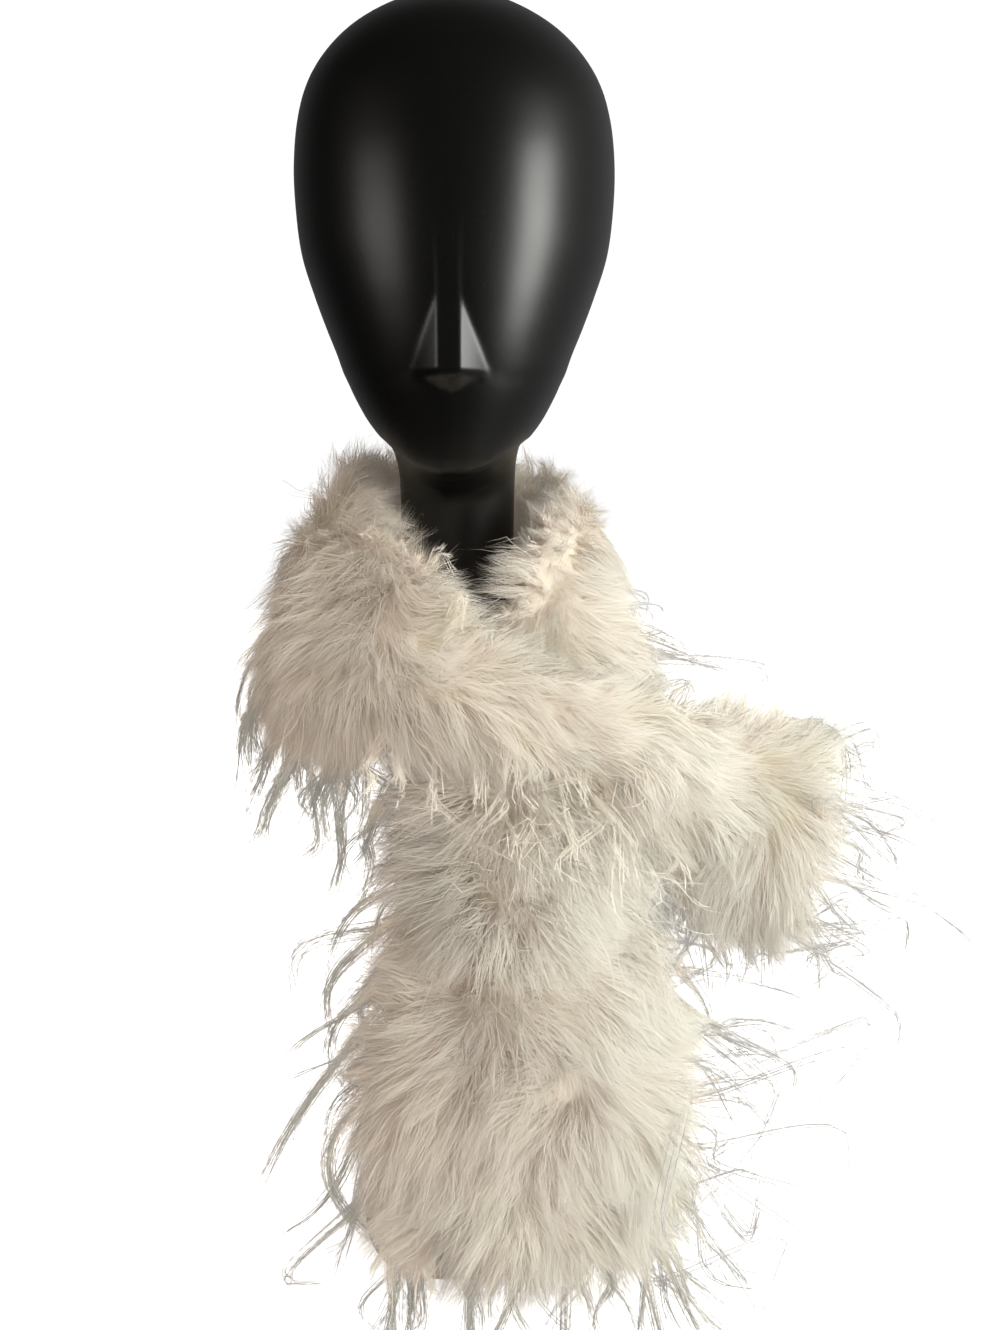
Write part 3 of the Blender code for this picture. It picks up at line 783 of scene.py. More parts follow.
# %% [markdown]
# Tufts of down
#
# A marabou plume is a bunch of thin barbs that share a root. Modelling each barb of the scarf would be
# hopeless, and so would an image of hair on a card, which falls apart from the side. So a few tufts are
# modelled, of twenty flat, tapering barbs each, some drawn together into a pointed lock and some spread out.
# Geometry Nodes then set thousands of them on the cloth, each turned, scaled and tinted in its own way.

# %% Model the tufts
BARBS = 20
BARB_CUTS = (0.0, 0.5)
BARB_WIDE = 0.0085
GATHERS = (0.35, 0.45, 0.6, 0.9, 1.2, 1.6)
TUFT_KINDS = len(GATHERS)


class Tuft:
    """A bunch of flat barbs, one unit long, growing along +Z with its upper side towards +Y."""

    def __init__(self):
        self.points, self.faces, self.along = [], [], []

    def add_barb(self, cuts, place_at, half_at, tip):
        """A barb: a pair of points at each cut, then its tip."""
        start = len(self.points)
        for cut in cuts:
            place, half = place_at(cut), half_at(cut)
            self.points += [place - half, place + half]
            self.along += [cut, cut]
        self.points.append(tip)
        self.along.append(1.0)
        end = start + 2 * (len(cuts) - 1)
        self.faces += [(base, base + 1, base + 3, base + 2) for base in range(start, end, 2)]
        self.faces.append((end, end + 1, end + 2))

    def mesh(self, name):
        mesh = mesh_from(name, self.points, self.faces)
        mesh.attributes.new("along", "FLOAT", "POINT").data.foreach_set("value", self.along)
        return mesh


def down_tuft(seed, gather):
    """Short barbs that share a root and spread by the gather."""
    draw = random.Random(seed)
    tuft = Tuft()
    for _ in range(BARBS):
        turn = draw.uniform(0, 2 * math.pi)
        reach = 0.10 * math.sqrt(draw.random())
        root = Vector((math.cos(turn) * reach, math.sin(turn) * reach * 0.6, 0))
        tip = Vector((draw.gauss(0, 0.16 * gather), draw.gauss(0.02, 0.10 * gather), draw.uniform(0.7, 1.05)))
        bend = Vector((draw.gauss(0, 0.05), draw.uniform(-0.02, 0.09), 0))
        roll = math.radians(draw.uniform(-62, 62))
        flat = Vector((math.cos(roll), math.sin(roll), 0))
        wide = BARB_WIDE * draw.uniform(0.7, 1.25)
        tuft.add_barb(
            BARB_CUTS,
            lambda cut: root.lerp(tip, cut) + bend * math.sin(math.pi * cut),
            lambda cut: flat * wide * 0.5 * (1 - 0.75 * cut**2),
            tip,
        )
    return tuft


def shelf_of(name, bunches):
    """A collection of tufts that instances are picked from."""
    shelf = bpy.data.collections.new(name + "s")
    for number, bunch in enumerate(bunches):
        mesh = bunch.mesh(f"{name}_{number}")
        shelf.objects.link(bpy.data.objects.new(mesh.name, mesh))
    return shelf


tufts = shelf_of("tuft", [down_tuft(100 + number, gather) for number, gather in enumerate(GATHERS)])

# %% [markdown]
# The tree that grows the down
#
# Points are scattered over the cloth, more on the side that shows most. A tuft is set on each, turned so that
# it grows along the comb with its upper side out of the cloth. Once the tufts are real, their points are
# moved: a slow noise draws neighbours together into wavy locks, and the weight bends them down, both more
# towards the tip than at the root. Last, each barb's face is turned outwards, so that light falls on it as
# on the cloth below.

# %% Write what the trees share
def start_tree(name, inputs):
    """A Geometry Nodes tree with a geometry in and out and the named number inputs."""
    tree = bpy.data.node_groups.new(name, "GeometryNodeTree")
    tree.interface.new_socket("Geometry", in_out="INPUT", socket_type="NodeSocketGeometry")
    for label, kind in inputs.items():
        tree.interface.new_socket(label, in_out="INPUT", socket_type=kind)
    tree.interface.new_socket("Geometry", in_out="OUTPUT", socket_type="NodeSocketGeometry")
    graph = Graph(tree)
    source = graph.add("NodeGroupInput")
    return graph, source


def end_tree(graph, geometry, finish):
    """Give the geometry its material and send it out."""
    finished = graph.add("GeometryNodeSetMaterial", None, {"Geometry": geometry, "Material": finish}, "Geometry")
    graph.tree.links.new(finished.socket, graph.tree.nodes.new("NodeGroupOutput").inputs[0])
    return graph.tree


def named(graph, name, kind="FLOAT"):
    """What the mesh stores under a name."""
    return graph.add("GeometryNodeInputNamedAttribute", {"data_type": kind}, {"Name": name}, "Attribute")


def drawn(graph, low, high, seed, kind="FLOAT"):
    """A random value for each element."""
    return graph.add("FunctionNodeRandomValue", {"data_type": kind}, {"Min": low, "Max": high, "Seed": seed}, "Value")


def stored(graph, geometry, name, kind, value):
    """The geometry with a value kept at each of its points under a name."""
    settings = {"data_type": kind, "domain": "POINT"}
    values = {"Geometry": geometry, "Name": name, "Value": value}
    return graph.add("GeometryNodeStoreNamedAttribute", settings, values, "Geometry")


def set_on_points(graph, points, instance, rotation, scale, choice=None):
    """An instance on each point, made real. With a choice, it is picked from several."""
    values = {"Points": points, "Instance": instance, "Rotation": rotation, "Scale": scale}
    if choice is not None:
        values.update({"Pick Instance": True, "Instance Index": choice})
    placed = graph.add("GeometryNodeInstanceOnPoints", None, values, "Instances")
    return graph.add("GeometryNodeRealizeInstances", None, {"Geometry": placed}, "Geometry")


print("helpers for trees ready")

# %% Build the tree
CLUMPS_PER_SQUARE_METRE = 3600.0

# The slow noise that makes wavy locks: how fine it is, for each metre, and how far it pulls, in tuft lengths
LOCK_SCALE = 62.0
LOCK_PULL = 0.8


def make_down_tree():
    inputs = {
        **dict.fromkeys(("Density", "Length", "Droop", "Unruly", "Clump", "Press"), "NodeSocketFloat"),
        "Seed": "NodeSocketInt",
        "Tufts": "NodeSocketCollection",
        "Finish": "NodeSocketMaterial",
    }
    graph, source = start_tree("grow_down", inputs)
    seed = source.other("Seed")

    def scattered(density, seed):
        values = {"Mesh": source, "Density": density, "Seed": seed}
        return graph.add("GeometryNodeDistributePointsOnFaces", {"distribute_method": "RANDOM"}, values, "Points")

    scatter = scattered(source.other("Density") * named(graph, "crowd"), seed)
    comb = named(graph, "comb", "FLOAT_VECTOR")
    middles = scattered(CLUMPS_PER_SQUARE_METRE, seed + 7)
    for name, low, high, number in (("size", 0.74, 1.22, 8), ("tint", 0.0, 1.0, 9), ("hold", 0.1, 1.2, 11)):
        middles = stored(graph, middles, f"clump_{name}", "FLOAT", drawn(graph, low, high, seed + number))

    def of_clump(nearest, value, kind="FLOAT"):
        """A value at the nearest clump: a field, or what is stored there under a name."""
        value = named(graph, value, kind) if isinstance(value, str) else value
        values = {"Geometry": middles, "Value": value, "Index": nearest}
        return graph.add("GeometryNodeSampleIndex", {"data_type": kind}, values, "Value")

    place = graph.add("GeometryNodeInputPosition")
    nearest = graph.add("GeometryNodeSampleNearest", None, {"Geometry": middles, "Sample Position": place}, "Index")
    strays = drawn(graph, (-1, -1, -1), (1, 1, 1), seed + 1, "FLOAT_VECTOR")
    unruly = source.other("Unruly") * (1 + named(graph, "wild"))
    growing = graph.vector("ADD", comb, graph.stretched(strays, unruly))
    growing = graph.vector("SUBTRACT", growing, graph.stretched(scatter.other("Normal"), source.other("Press")))
    points = stored(graph, scatter, "cloth_normal", "FLOAT_VECTOR", scatter.other("Normal"))
    tint = drawn(graph, 0.0, 0.5, seed + 2) + of_clump(nearest, "clump_tint") * 0.5
    points = stored(graph, points, "tint", "FLOAT", tint)
    points = stored(graph, points, "clump", "INT", nearest)
    settings = {"primary_axis": "Z", "secondary_axis": "Y"}
    facing = named(graph, "cloth_normal", "FLOAT_VECTOR")
    turned = graph.add("FunctionNodeAxesToRotation", settings, {"Primary Axis": growing, "Secondary Axis": facing})
    choices = {"Collection": source.other("Tufts"), "Separate Children": True}
    choices = graph.add("GeometryNodeCollectionInfo", {"transform_space": "ORIGINAL"}, choices, "Instances")
    size = source.other("Length") * drawn(graph, 0.78, 1.18, seed + 3) * named(graph, "pile")
    size = size * of_clump(nearest, "clump_size")
    width = drawn(graph, 0.8, 1.3, seed + 4)
    scale = graph.add("ShaderNodeCombineXYZ", None, {"X": size * width, "Y": size, "Z": size})
    real = set_on_points(graph, points, choices, turned, scale, drawn(graph, 0, TUFT_KINDS - 1, seed + 5, "INT"))
    along = named(graph, "along")
    weight = along * along
    clump = named(graph, "clump", "INT")
    onward = graph.stretched(of_clump(clump, "comb", "FLOAT_VECTOR"), along * source.other("Length"))
    middle = of_clump(clump, place, "FLOAT_VECTOR")
    gather = graph.vector("SUBTRACT", graph.vector("ADD", middle, onward), place)
    hold = source.other("Clump") * of_clump(clump, "clump_hold")
    gather = graph.stretched(gather, weight * hold)
    slow = {"Vector": place, "Scale": LOCK_SCALE, "Detail": 1.0}
    pull = graph.add("ShaderNodeTexNoise", None, slow, "Color")
    pull = graph.stretched(graph.vector("SUBTRACT", pull, (0.5, 0.5, 0.5)), weight * source.other("Length") * LOCK_PULL)
    fall = weight * source.other("Length") * source.other("Droop") * -1.0
    fall = graph.add("ShaderNodeCombineXYZ", None, {"Z": fall})
    shift = graph.vector("ADD", graph.vector("ADD", pull, fall), gather)
    moved = graph.add("GeometryNodeSetPosition", None, {"Geometry": real, "Offset": shift}, "Geometry")
    side = graph.vector("DOT_PRODUCT", graph.add("GeometryNodeInputNormal", out="Normal"), facing, "Value")
    turned_out = graph.add("GeometryNodeFlipFaces", None, {"Mesh": moved, "Selection": side < 0.0}, "Mesh")
    return end_tree(graph, turned_out, source.other("Finish"))


down_tree = make_down_tree()
print("down tree:", len(down_tree.nodes), "nodes")

# %% [markdown]
# Growing a piece
#
# The tree runs as a modifier on a copy of the cloth. Its inputs are set by their identifiers before the copy
# is first evaluated, and the evaluated result becomes a plain mesh. Thin ribbons catch the light unevenly, so
# each point's normal is drawn most of the way towards the normal of the cloth it grows from.

# %% Grow a piece of down
CLOTH_NORMAL_SHARE = 0.78


def set_inputs(modifier, values):
    for item in modifier.node_group.interface.items_tree:
        if item.item_type == "SOCKET" and item.in_out == "INPUT" and item.name in values:
            modifier[item.identifier] = values[item.name]


def vectors_of(data):
    """The vectors of a mesh's points, one row each."""
    values = np.zeros(len(data) * 3, np.float32)
    data.foreach_get("vector", values)
    return values.reshape(-1, 3)


def soften_normals(mesh):
    """Draw the normals of the barbs towards those of the cloth."""
    of_cloth, own = vectors_of(mesh.attributes["cloth_normal"].data), vectors_of(mesh.vertex_normals)
    mixed = of_cloth * CLOTH_NORMAL_SHARE + own * (1 - CLOTH_NORMAL_SHARE)
    mixed /= np.maximum(np.linalg.norm(mixed, axis=1, keepdims=True), 1e-6)
    mesh.normals_split_custom_set_from_vertices(mixed)
    mesh.attributes.remove(mesh.attributes["cloth_normal"])


def grown_mesh(name, base, tree, values):
    """The mesh that a tree makes from a base mesh."""
    holder = bpy.data.objects.new("holder", base)
    bpy.context.scene.collection.objects.link(holder)
    modifier = holder.modifiers.new("grow", "NODES")
    modifier.node_group = tree
    set_inputs(modifier, values)
    graph = bpy.context.evaluated_depsgraph_get()
    mesh = bpy.data.meshes.new_from_object(holder.evaluated_get(graph))
    mesh.name = name
    bpy.data.objects.remove(holder)
    return mesh


def crowd_cloth(mesh, weight_of):
    """Give each point of a copy of the cloth its share of the tufts."""
    base = mesh.copy()
    crowd = base.attributes.new("crowd", "FLOAT", "POINT")
    crowd.data.foreach_set("value", [weight_of(vertex.normal) for vertex in base.vertices])
    return base


def facing_share(low):
    """Tufts lie densest on what looks forwards, and at a share called low on what looks back."""
    return lambda normal: low + (1 - low) * smooth_step(0.5 - 0.9 * normal.y)


def triangles_of(mesh):
    return sum(len(face.vertices) - 2 for face in mesh.polygons)


def grow_on(part, name, weight_of, finish, values):
    """A piece of down or barbs that grows from the cloth of one stretch."""
    base = crowd_cloth(cloths[part][0].data, weight_of)
    mesh = grown_mesh(name, base, down_tree, {**values, "Finish": finish})
    soften_normals(mesh)
    print(f"{name}: {triangles_of(mesh)} triangles")
    return show(name, mesh, finish)


# %% Grow the down
# density: tufts on a square metre where the weight is 1
DownPiece = namedtuple("DownPiece", "name part density weight_of seed")
DOWN = [
    DownPiece("down_side_tail", "scarf_side_tail", 70000, facing_share(0.6), 1),
    DownPiece("down_left_band", "scarf_left_band", 68000, facing_share(0.5), 2),
    DownPiece("down_back", "scarf_back", 44000, lambda normal: 1.0, 3),
    DownPiece("down_right_band", "scarf_right_band", 66000, facing_share(0.5), 4),
    DownPiece("down_tail_front", "scarf_front_tail", 66000, lambda normal: float(normal.y < 0.0), 5),
    DownPiece("down_tail_back", "scarf_front_tail", 36000, lambda normal: float(normal.y >= 0.0), 6),
]
# The pieces that each stretch's cloth carries
carried = {part: [] for part in PARTS}
for row in DOWN:
    values = {"Density": float(row.density), "Length": COMBS[row.part].long * MM, "Droop": 0.16, "Unruly": 0.34,
              "Clump": 0.42, "Press": 0.0, "Seed": row.seed * 10, "Tufts": tufts}
    piece = grow_on(row.part, row.name, row.weight_of, ivory_down, values)
    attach(piece, BODY)
    carried[row.part].append(piece)

# %% [markdown]
# Free barbs
#
# Past the down, long ostrich barbs hang free. Each is a thin shaft with short, soft barbules on both sides,
# and they cling together in small bundles. A particle system could scatter them, but it can't say which way
# a bundle falls, and that is what gives this scarf its outline. So each row of bundles is one line of a table:
# where on the strip it roots, which way it leads at either end of the row and how far it sinks. A loop works
# out one open line for each barb, and Geometry Nodes turn the lines into shafts with sprigs of barbules.

# %% Model a sprig of barbules
SPRIG_LONG = 6.0 * MM
BARBULES = 8
BARBULE_HALF = 0.16 * MM


def sprig_mesh(name, seed):
    """A short run of shaft with flat, pointed barbules that lean out on both sides in turn."""
    draw = random.Random(seed)
    points, faces = [], []
    for number in range(BARBULES):
        root = Vector((0, 0, number / BARBULES * SPRIG_LONG))
        lean = math.radians(draw.uniform(12, 30)) * (1 if number % 2 else -1)
        reach = draw.uniform(2.6, 5.4) * MM
        tip = root + Vector((math.sin(lean), draw.gauss(0, 0.25), math.cos(lean))) * reach
        half = Vector((0, 0, BARBULE_HALF / math.sin(abs(lean))))
        start = len(points)
        points += [root - half, root + half, tip]
        faces.append((start, start + 1, start + 2))
    return mesh_from(name, points, faces)


sprig = bpy.data.objects.new("sprig", sprig_mesh("sprig", 7))
print("sprig:", len(sprig.data.polygons), "barbules")

# %% Build the tree that dresses a line
def make_wisp_tree():
    inputs = {
        "Width": "NodeSocketFloat",
        "Spacing": "NodeSocketFloat",
        "Seed": "NodeSocketInt",
        "Sprig": "NodeSocketObject",
        "Finish": "NodeSocketMaterial",
    }
    graph, source = start_tree("dress_wisps", inputs)
    seed = source.other("Seed")
    lines = graph.add("GeometryNodeMeshToCurve", None, {"Mesh": source}, "Curve")
    share = graph.add("GeometryNodeSplineParameter", None, None, "Factor")
    lines = stored(graph, lines, "along", "FLOAT", share)
    taper = 1.0 - share * share * 0.8
    shaped = graph.add("GeometryNodeSetCurveRadius", None, {"Curve": lines, "Radius": taper}, "Curve")
    twist = named(graph, "tint") * 6.3 + share * 3.0
    shaped = graph.add("GeometryNodeSetCurveTilt", None, {"Curve": shaped, "Tilt": twist}, "Curve")
    sides = [graph.add("ShaderNodeCombineXYZ", None, {"X": source.other("Width") * half}) for half in (0.5, -0.5)]
    profile = graph.add("GeometryNodeCurvePrimitiveLine", None, {"Start": sides[0], "End": sides[1]}, "Curve")
    shafts = graph.add("GeometryNodeCurveToMesh", None, {"Curve": shaped, "Profile Curve": profile}, "Mesh")
    spacing = {"Curve": lines, "Length": source.other("Spacing")}
    spaced = graph.add("GeometryNodeResampleCurve", {"mode": "LENGTH"}, spacing, "Curve")
    heading = graph.add("GeometryNodeInputTangent", out="Tangent")
    turned = graph.add("FunctionNodeAlignRotationToVector", {"axis": "Z"}, {"Vector": heading}, "Rotation")
    roll = graph.add("ShaderNodeCombineXYZ", None, {"Z": drawn(graph, 0.0, 6.28, seed)})
    roll = graph.add("FunctionNodeEulerToRotation", None, {"Euler": roll}, "Rotation")
    rolling = {"Rotation": turned, "Rotate By": roll}
    turned = graph.add("FunctionNodeRotateRotation", {"rotation_space": "LOCAL"}, rolling, "Rotation")
    sprigs = graph.add("GeometryNodeObjectInfo", None, {"Object": source.other("Sprig")}, "Geometry")
    size = (1.0 - named(graph, "along") * 0.45) * drawn(graph, 0.6, 1.25, seed + 1)
    real = set_on_points(graph, spaced, sprigs, turned, size)
    joined = graph.add("GeometryNodeJoinGeometry")
    graph.tree.links.new(shafts.socket, joined.socket.node.inputs[0])
    graph.tree.links.new(real.socket, joined.socket.node.inputs[0])
    return end_tree(graph, joined, source.other("Finish"))


wisp_tree = make_wisp_tree()
print("wisp tree:", len(wisp_tree.nodes), "nodes")

# %% Say where the bundles root and lead
# node: the solid row of locks that the wisps stand for; edges and places: where the row starts and ends, in
# degrees round the strip and in sections along it; bundles: how many, and of how many barbs; aways and falls:
# where a bundle leads from its root and how far it sinks besides, at the row's start and end, in millimetres;
# sway: how much it wavers, as a share of its length
Row = namedtuple("Row", "name node edges places bundles aways falls sway seed")
# These rows turn to the darker grey of painted shade at their tips
EDGE_ROWS = [
    Row("wisps_left_turn", "fringe_left_turn", (190, 172), (8.0, 11.6), (22, 15),
        ((-12, -5, -36), (-26, 4, -22)), (20, 16), 0.13, 1),
    Row("wisps_tail_left", "fringe_tail_left", (8, -8), (22.3, 27.2), (23, 12),
        ((-40, -3, -18), (-30, 0, -34)), (34, 26), 0.16, 2),
    Row("wisps_hem", "fringe_hem", (4, 176), (27.9, 27.9), (24, 11),
        ((-12, -2, -70), (34, -2, -70)), (4, 6), 0.08, 4),
    Row("wisps_under_turn", None, (196, 182), (7.8, 9.4), (14, 12),
        ((-4, -2, -26), (-10, 2, -30)), (18, 18), 0.12, 8),
]
# These rows turn to the paler grey of painted shade at their tips
PALE_SHADE_ROWS = [
    Row("wisps_tail_right", "fringe_tail_right", (172, 186), (23.9, 27.7), (50, 4),
        ((44, -2, 4), (44, 0, -26)), (36, 30), 0.36, 3),
    Row("wisps_hem_back", "fringe_hem", (188, 352), (27.9, 27.9), (16, 6),
        ((26, 2, -60), (-12, 2, -60)), (6, 6), 0.12, 5),
    Row("wisps_side_end", "fringe_side_end", (14, 172), (1.4, 1.4), (34, 4),
        ((32, -2, 14), (36, 0, -20)), (26, 16), 0.34, 6),
    Row("wisps_side_under", "fringe_side_end", (172, 184), (1.4, 3.4), (18, 6),
        ((14, 0, -26), (6, -2, -26)), (12, 14), 0.20, 7),
    Row("wisps_shoulder", None, (150, 166), (18.4, 21.6), (18, 5),
        ((26, 4, 10), (28, -4, 2)), (20, 22), 0.26, 14),
    Row("wisps_side_top", None, (12, 20), (1.5, 4.2), (12, 4),
        ((10, 2, 14), (12, 2, 10)), (10, 6), 0.22, 16),
]
FACE_ROWS = [
    Row("barbs_crossing", "fringe_crossing", (156, 134), (4.6, 7.8), (24, 7),
        ((22, -10, -22), (-4, -8, -20)), (10, 8), 0.26, 11),
    Row("barbs_hem_corner", None, (350, 400), (27.9, 27.9), (22, 14),
        ((-6, -2, -22), (0, -2, -24)), (4, 4), 0.06, 17),
    Row("barbs_tail_top", None, (46, 140), (22.9, 22.5), (26, 7),
        ((-12, -34, 0), (18, -30, 0)), (30, 26), 0.24, 18),
    Row("barbs_collar_left", None, (20, 6), (6.6, 10.6), (16, 7),
        ((4, -8, 14), (8, -8, 14)), (4, 6), 0.12, 12),
    Row("barbs_collar_right", None, (8, 8), (18.6, 21.4), (10, 7),
        ((-2, -8, 10), (-3, -8, 8)), (5, 6), 0.12, 13),
    Row("barbs_nape", None, (174, 186), (12.4, 17.6), (18, 6),
        ((0, 6, -34), (2, 6, -34)), (16, 16), 0.12, 15),
]

# %% Give the bundles their size
# A bundle: the points of each barb, and how far its barbs stand apart at the root and at the tip
STRAND_POINTS = 11
BUNDLE_ROOT = 2.3 * MM
BUNDLE_TIP = 1.6 * MM

# Bundles stay above the floor. Past their reach to the left and right, they go on by only a share of the way
FLOOR_CLEAR = 8 * MM
RIGHT_REACH = 212 * MM
LEFT_REACH = -104 * MM
SOFT_STOP = 0.3

# A barb's flat shaft, and how far apart its sprigs are
SHAFT_WIDE = 0.45 * MM
SPRIG_SPACING = 6.0 * MM

# %% Lead the largest plumes along listed points
# The largest plumes: depth y, then x and z of a few points, in millimetres
Plume = namedtuple("Plume", "y barbs route")
# Plumes on the left: their tips turn to the darker grey of painted shade
DARK_SHADE_PLUMES = [
    Plume(-92, 18, ((-26, 248), (-53, 224), (-61, 205), (-56, 183))),
    Plume(-90, 20, ((-44, 190), (-66, 161), (-82, 136), (-94, 113))),
    Plume(-92, 20, ((-46, 152), (-61, 128), (-57, 98), (-27, 66), (-7, 42))),
    Plume(-90, 12, ((-34, 214), (-54, 196), (-60, 176), (-50, 158))),
    Plume(-88, 12, ((-30, 262), (-46, 252), (-56, 236), (-60, 218))),
    Plume(-80, 20, ((-82, 364), (-94, 350), (-99, 334), (-98, 318))),
    Plume(-84, 20, ((-66, 334), (-80, 316), (-88, 302), (-92, 288))),
    Plume(-90, 18, ((-48, 322), (-52, 300), (-52, 282), (-57, 264))),
    Plume(-92, 16, ((-34, 308), (-40, 290), (-38, 276), (-44, 256))),
    Plume(-84, 16, ((-76, 352), (-86, 334), (-90, 318), (-96, 306))),
]
# Plumes on the right: their tips turn to the paler grey of painted shade
PALE_SHADE_PLUMES = [
    Plume(-88, 9, ((108, 204), (143, 184), (168, 170), (170, 154))),
    Plume(-90, 9, ((108, 178), (128, 192), (150, 196), (172, 190))),
    Plume(-86, 9, ((118, 128), (140, 88), (152, 76), (156, 100))),
    Plume(-84, 8, ((112, 150), (138, 152), (158, 140), (160, 122))),
    Plume(-86, 8, ((110, 224), (124, 206), (132, 186), (150, 178))),
    Plume(-95, 11, ((168, 312), (192, 302), (204, 293), (216, 277))),
    Plume(-92, 11, ((168, 274), (190, 268), (204, 259), (216, 254))),
    Plume(-96, 9, ((160, 346), (176, 343), (186, 330), (186, 312))),
    Plume(-94, 9, ((160, 250), (172, 238), (180, 234), (184, 242))),
    Plume(-94, 8, ((176, 296), (196, 284), (196, 272), (210, 262))),
]
print("plumes:", len(DARK_SHADE_PLUMES) + len(PALE_SHADE_PLUMES))


# %% Work out the lines of the barbs
def bundle_lines(path_at, count, draw):
    """Barbs that follow one path, some to its end and some not so far, and draw closer on their way."""
    lines = []
    for _ in range(count):
        reach = draw.uniform(0.5, 1.0)
        start = Vector([draw.gauss(0, BUNDLE_ROOT) for _ in range(3)])
        end = Vector([draw.gauss(0, BUNDLE_TIP) for _ in range(3)])
        line = []
        for step in range(STRAND_POINTS):
            share = step / (STRAND_POINTS - 1) * reach
            point = path_at(share) + start.lerp(end, share)
            point.z = max(point.z, FLOOR_CLEAR)
            point.x = min(point.x, RIGHT_REACH + SOFT_STOP * max(point.x - RIGHT_REACH, 0))
            point.x = max(point.x, LEFT_REACH - SOFT_STOP * max(LEFT_REACH - point.x, 0))
            line.append(point)
        lines.append(line)
    return lines


def row_lines(row):
    """The barbs of a row, bundle by bundle. Each bundle leads away, sinks and wavers in its own way."""
    draw = random.Random(500 + row.seed)
    lines, tints = [], []
    count, strands = row.bundles
    for bundle in range(count):
        share = (bundle + draw.uniform(0.1, 0.9)) / count
        place, edge, fall = (pair[0] + (pair[1] - pair[0]) * share for pair in (row.places, row.edges, row.falls))
        station = Station(place)
        size = draw.uniform(0.55, 1.25)
        away = Vector(row.aways[0]).lerp(Vector(row.aways[1]), share) * MM * size
        away += Vector((draw.gauss(0, 0.20), draw.gauss(0, 0.14), draw.gauss(0, 0.14))) * away.length
        fall = fall * MM * size
        root = station.point(math.radians(edge))
        sway = Vector((draw.gauss(0, 1), draw.gauss(0, 0.5), draw.gauss(0, 0.8))) * row.sway * (away.length + fall)
        beat, phase = draw.uniform(0.5, 1.3), draw.uniform(0, math.pi)

        def path_at(place):
            wave = math.sin(2 * math.pi * beat * place + phase) - math.sin(phase)
            return root + away * place + Vector((0, 0, -fall * place**1.8)) + sway * wave * place

        lines += bundle_lines(path_at, strands, draw)
        tints += [min(max(draw.gauss(0.5, 0.3), 0), 1)] * strands
    return lines, tints


def plume_lines(plumes, seed):
    draw = random.Random(seed)
    lines, tints = [], []
    for plume in plumes:
        def path_at(place):
            at = place * (len(plume.route) - 1)
            x, z = (smooth_between([point[axis] for point in plume.route], at) for axis in (0, 1))
            return Vector((x, plume.y, z)) * MM

        lines += bundle_lines(path_at, plume.barbs, draw)
        tints += [draw.random()] * plume.barbs
    return lines, tints


# %% Dress the lines
def lines_mesh(lines, tints):
    """A mesh of open lines, which Geometry Nodes read as curves."""
    points = [point for line in lines for point in line]
    edges, start = [], 0
    for line in lines:
        edges += [(start + step, start + step + 1) for step in range(len(line) - 1)]
        start += len(line)
    mesh = bpy.data.meshes.new("lines")
    mesh.from_pydata(points, edges, [])
    spread = [tint for line, tint in zip(lines, tints) for _ in line]
    mesh.attributes.new("tint", "FLOAT", "POINT").data.foreach_set("value", spread)
    return mesh


def dress_lines(name, lines, tints, seed, finish):
    """Shafts and barbules for a set of open lines, as one piece."""
    values = {"Width": SHAFT_WIDE, "Spacing": SPRIG_SPACING, "Seed": seed, "Sprig": sprig, "Finish": finish}
    mesh = grown_mesh(name, lines_mesh(lines, tints), wisp_tree, values)
    piece = show(name, mesh, finish)
    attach(piece, BODY)
    print(f"{name}: {len(lines)} barbs, {triangles_of(mesh)} triangles")
    return piece


# The edge and pale rows get painted shade at their tips, and all barbs a painted glow
for rows, finish in ((EDGE_ROWS, ostrich_edge), (PALE_SHADE_ROWS, ostrich_pale_shade), (FACE_ROWS, ostrich_barbs)):
    for row in rows:
        piece = dress_lines(row.name, *row_lines(row), row.seed, finish)
        carried[SCARF[int(row.places[0])].part].append(piece)
        if row.node:
            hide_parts(row.node)
carried["scarf_front_tail"] += [
    dress_lines("plumes_left", *plume_lines(DARK_SHADE_PLUMES, 77), 21, ostrich_edge),
    dress_lines("plumes_right", *plume_lines(PALE_SHADE_PLUMES, 78), 22, ostrich_pale_shade),
]

# %% [markdown]
# Long barbs over the down
#
# Here and there a long, pale barb lies over the down, catches the light and gives off a faint painted glow. They
# grow by the same tree as the down, from tufts of two long barbs that have more cuts, so that they bend smoothly.

# %% Lay long barbs over the down
LONG_CUTS = (0.0, 0.16, 0.32, 0.48, 0.64, 0.8, 0.92)
LONG_HALF = 0.0046
LONG_BARBS = 2


def long_tuft(seed):
    """A few long barbs that share a root."""
    draw = random.Random(seed)
    tuft = Tuft()
    for _ in range(LONG_BARBS):
        lean = Vector((draw.gauss(0, 0.10), draw.uniform(0.0, 0.10), draw.uniform(0.8, 1.1)))
        bend = Vector((draw.gauss(0, 0.09), draw.uniform(0.02, 0.10), 0))
        roll = math.radians(draw.uniform(-50, 50))
        flat = Vector((math.cos(roll), math.sin(roll), 0))
        tuft.add_barb(
            LONG_CUTS,
            lambda cut: lean * cut + bend * math.sin(math.pi * cut),
            lambda cut: flat * LONG_HALF * (1 - 0.7 * cut),
            lean,
        )
    return tuft


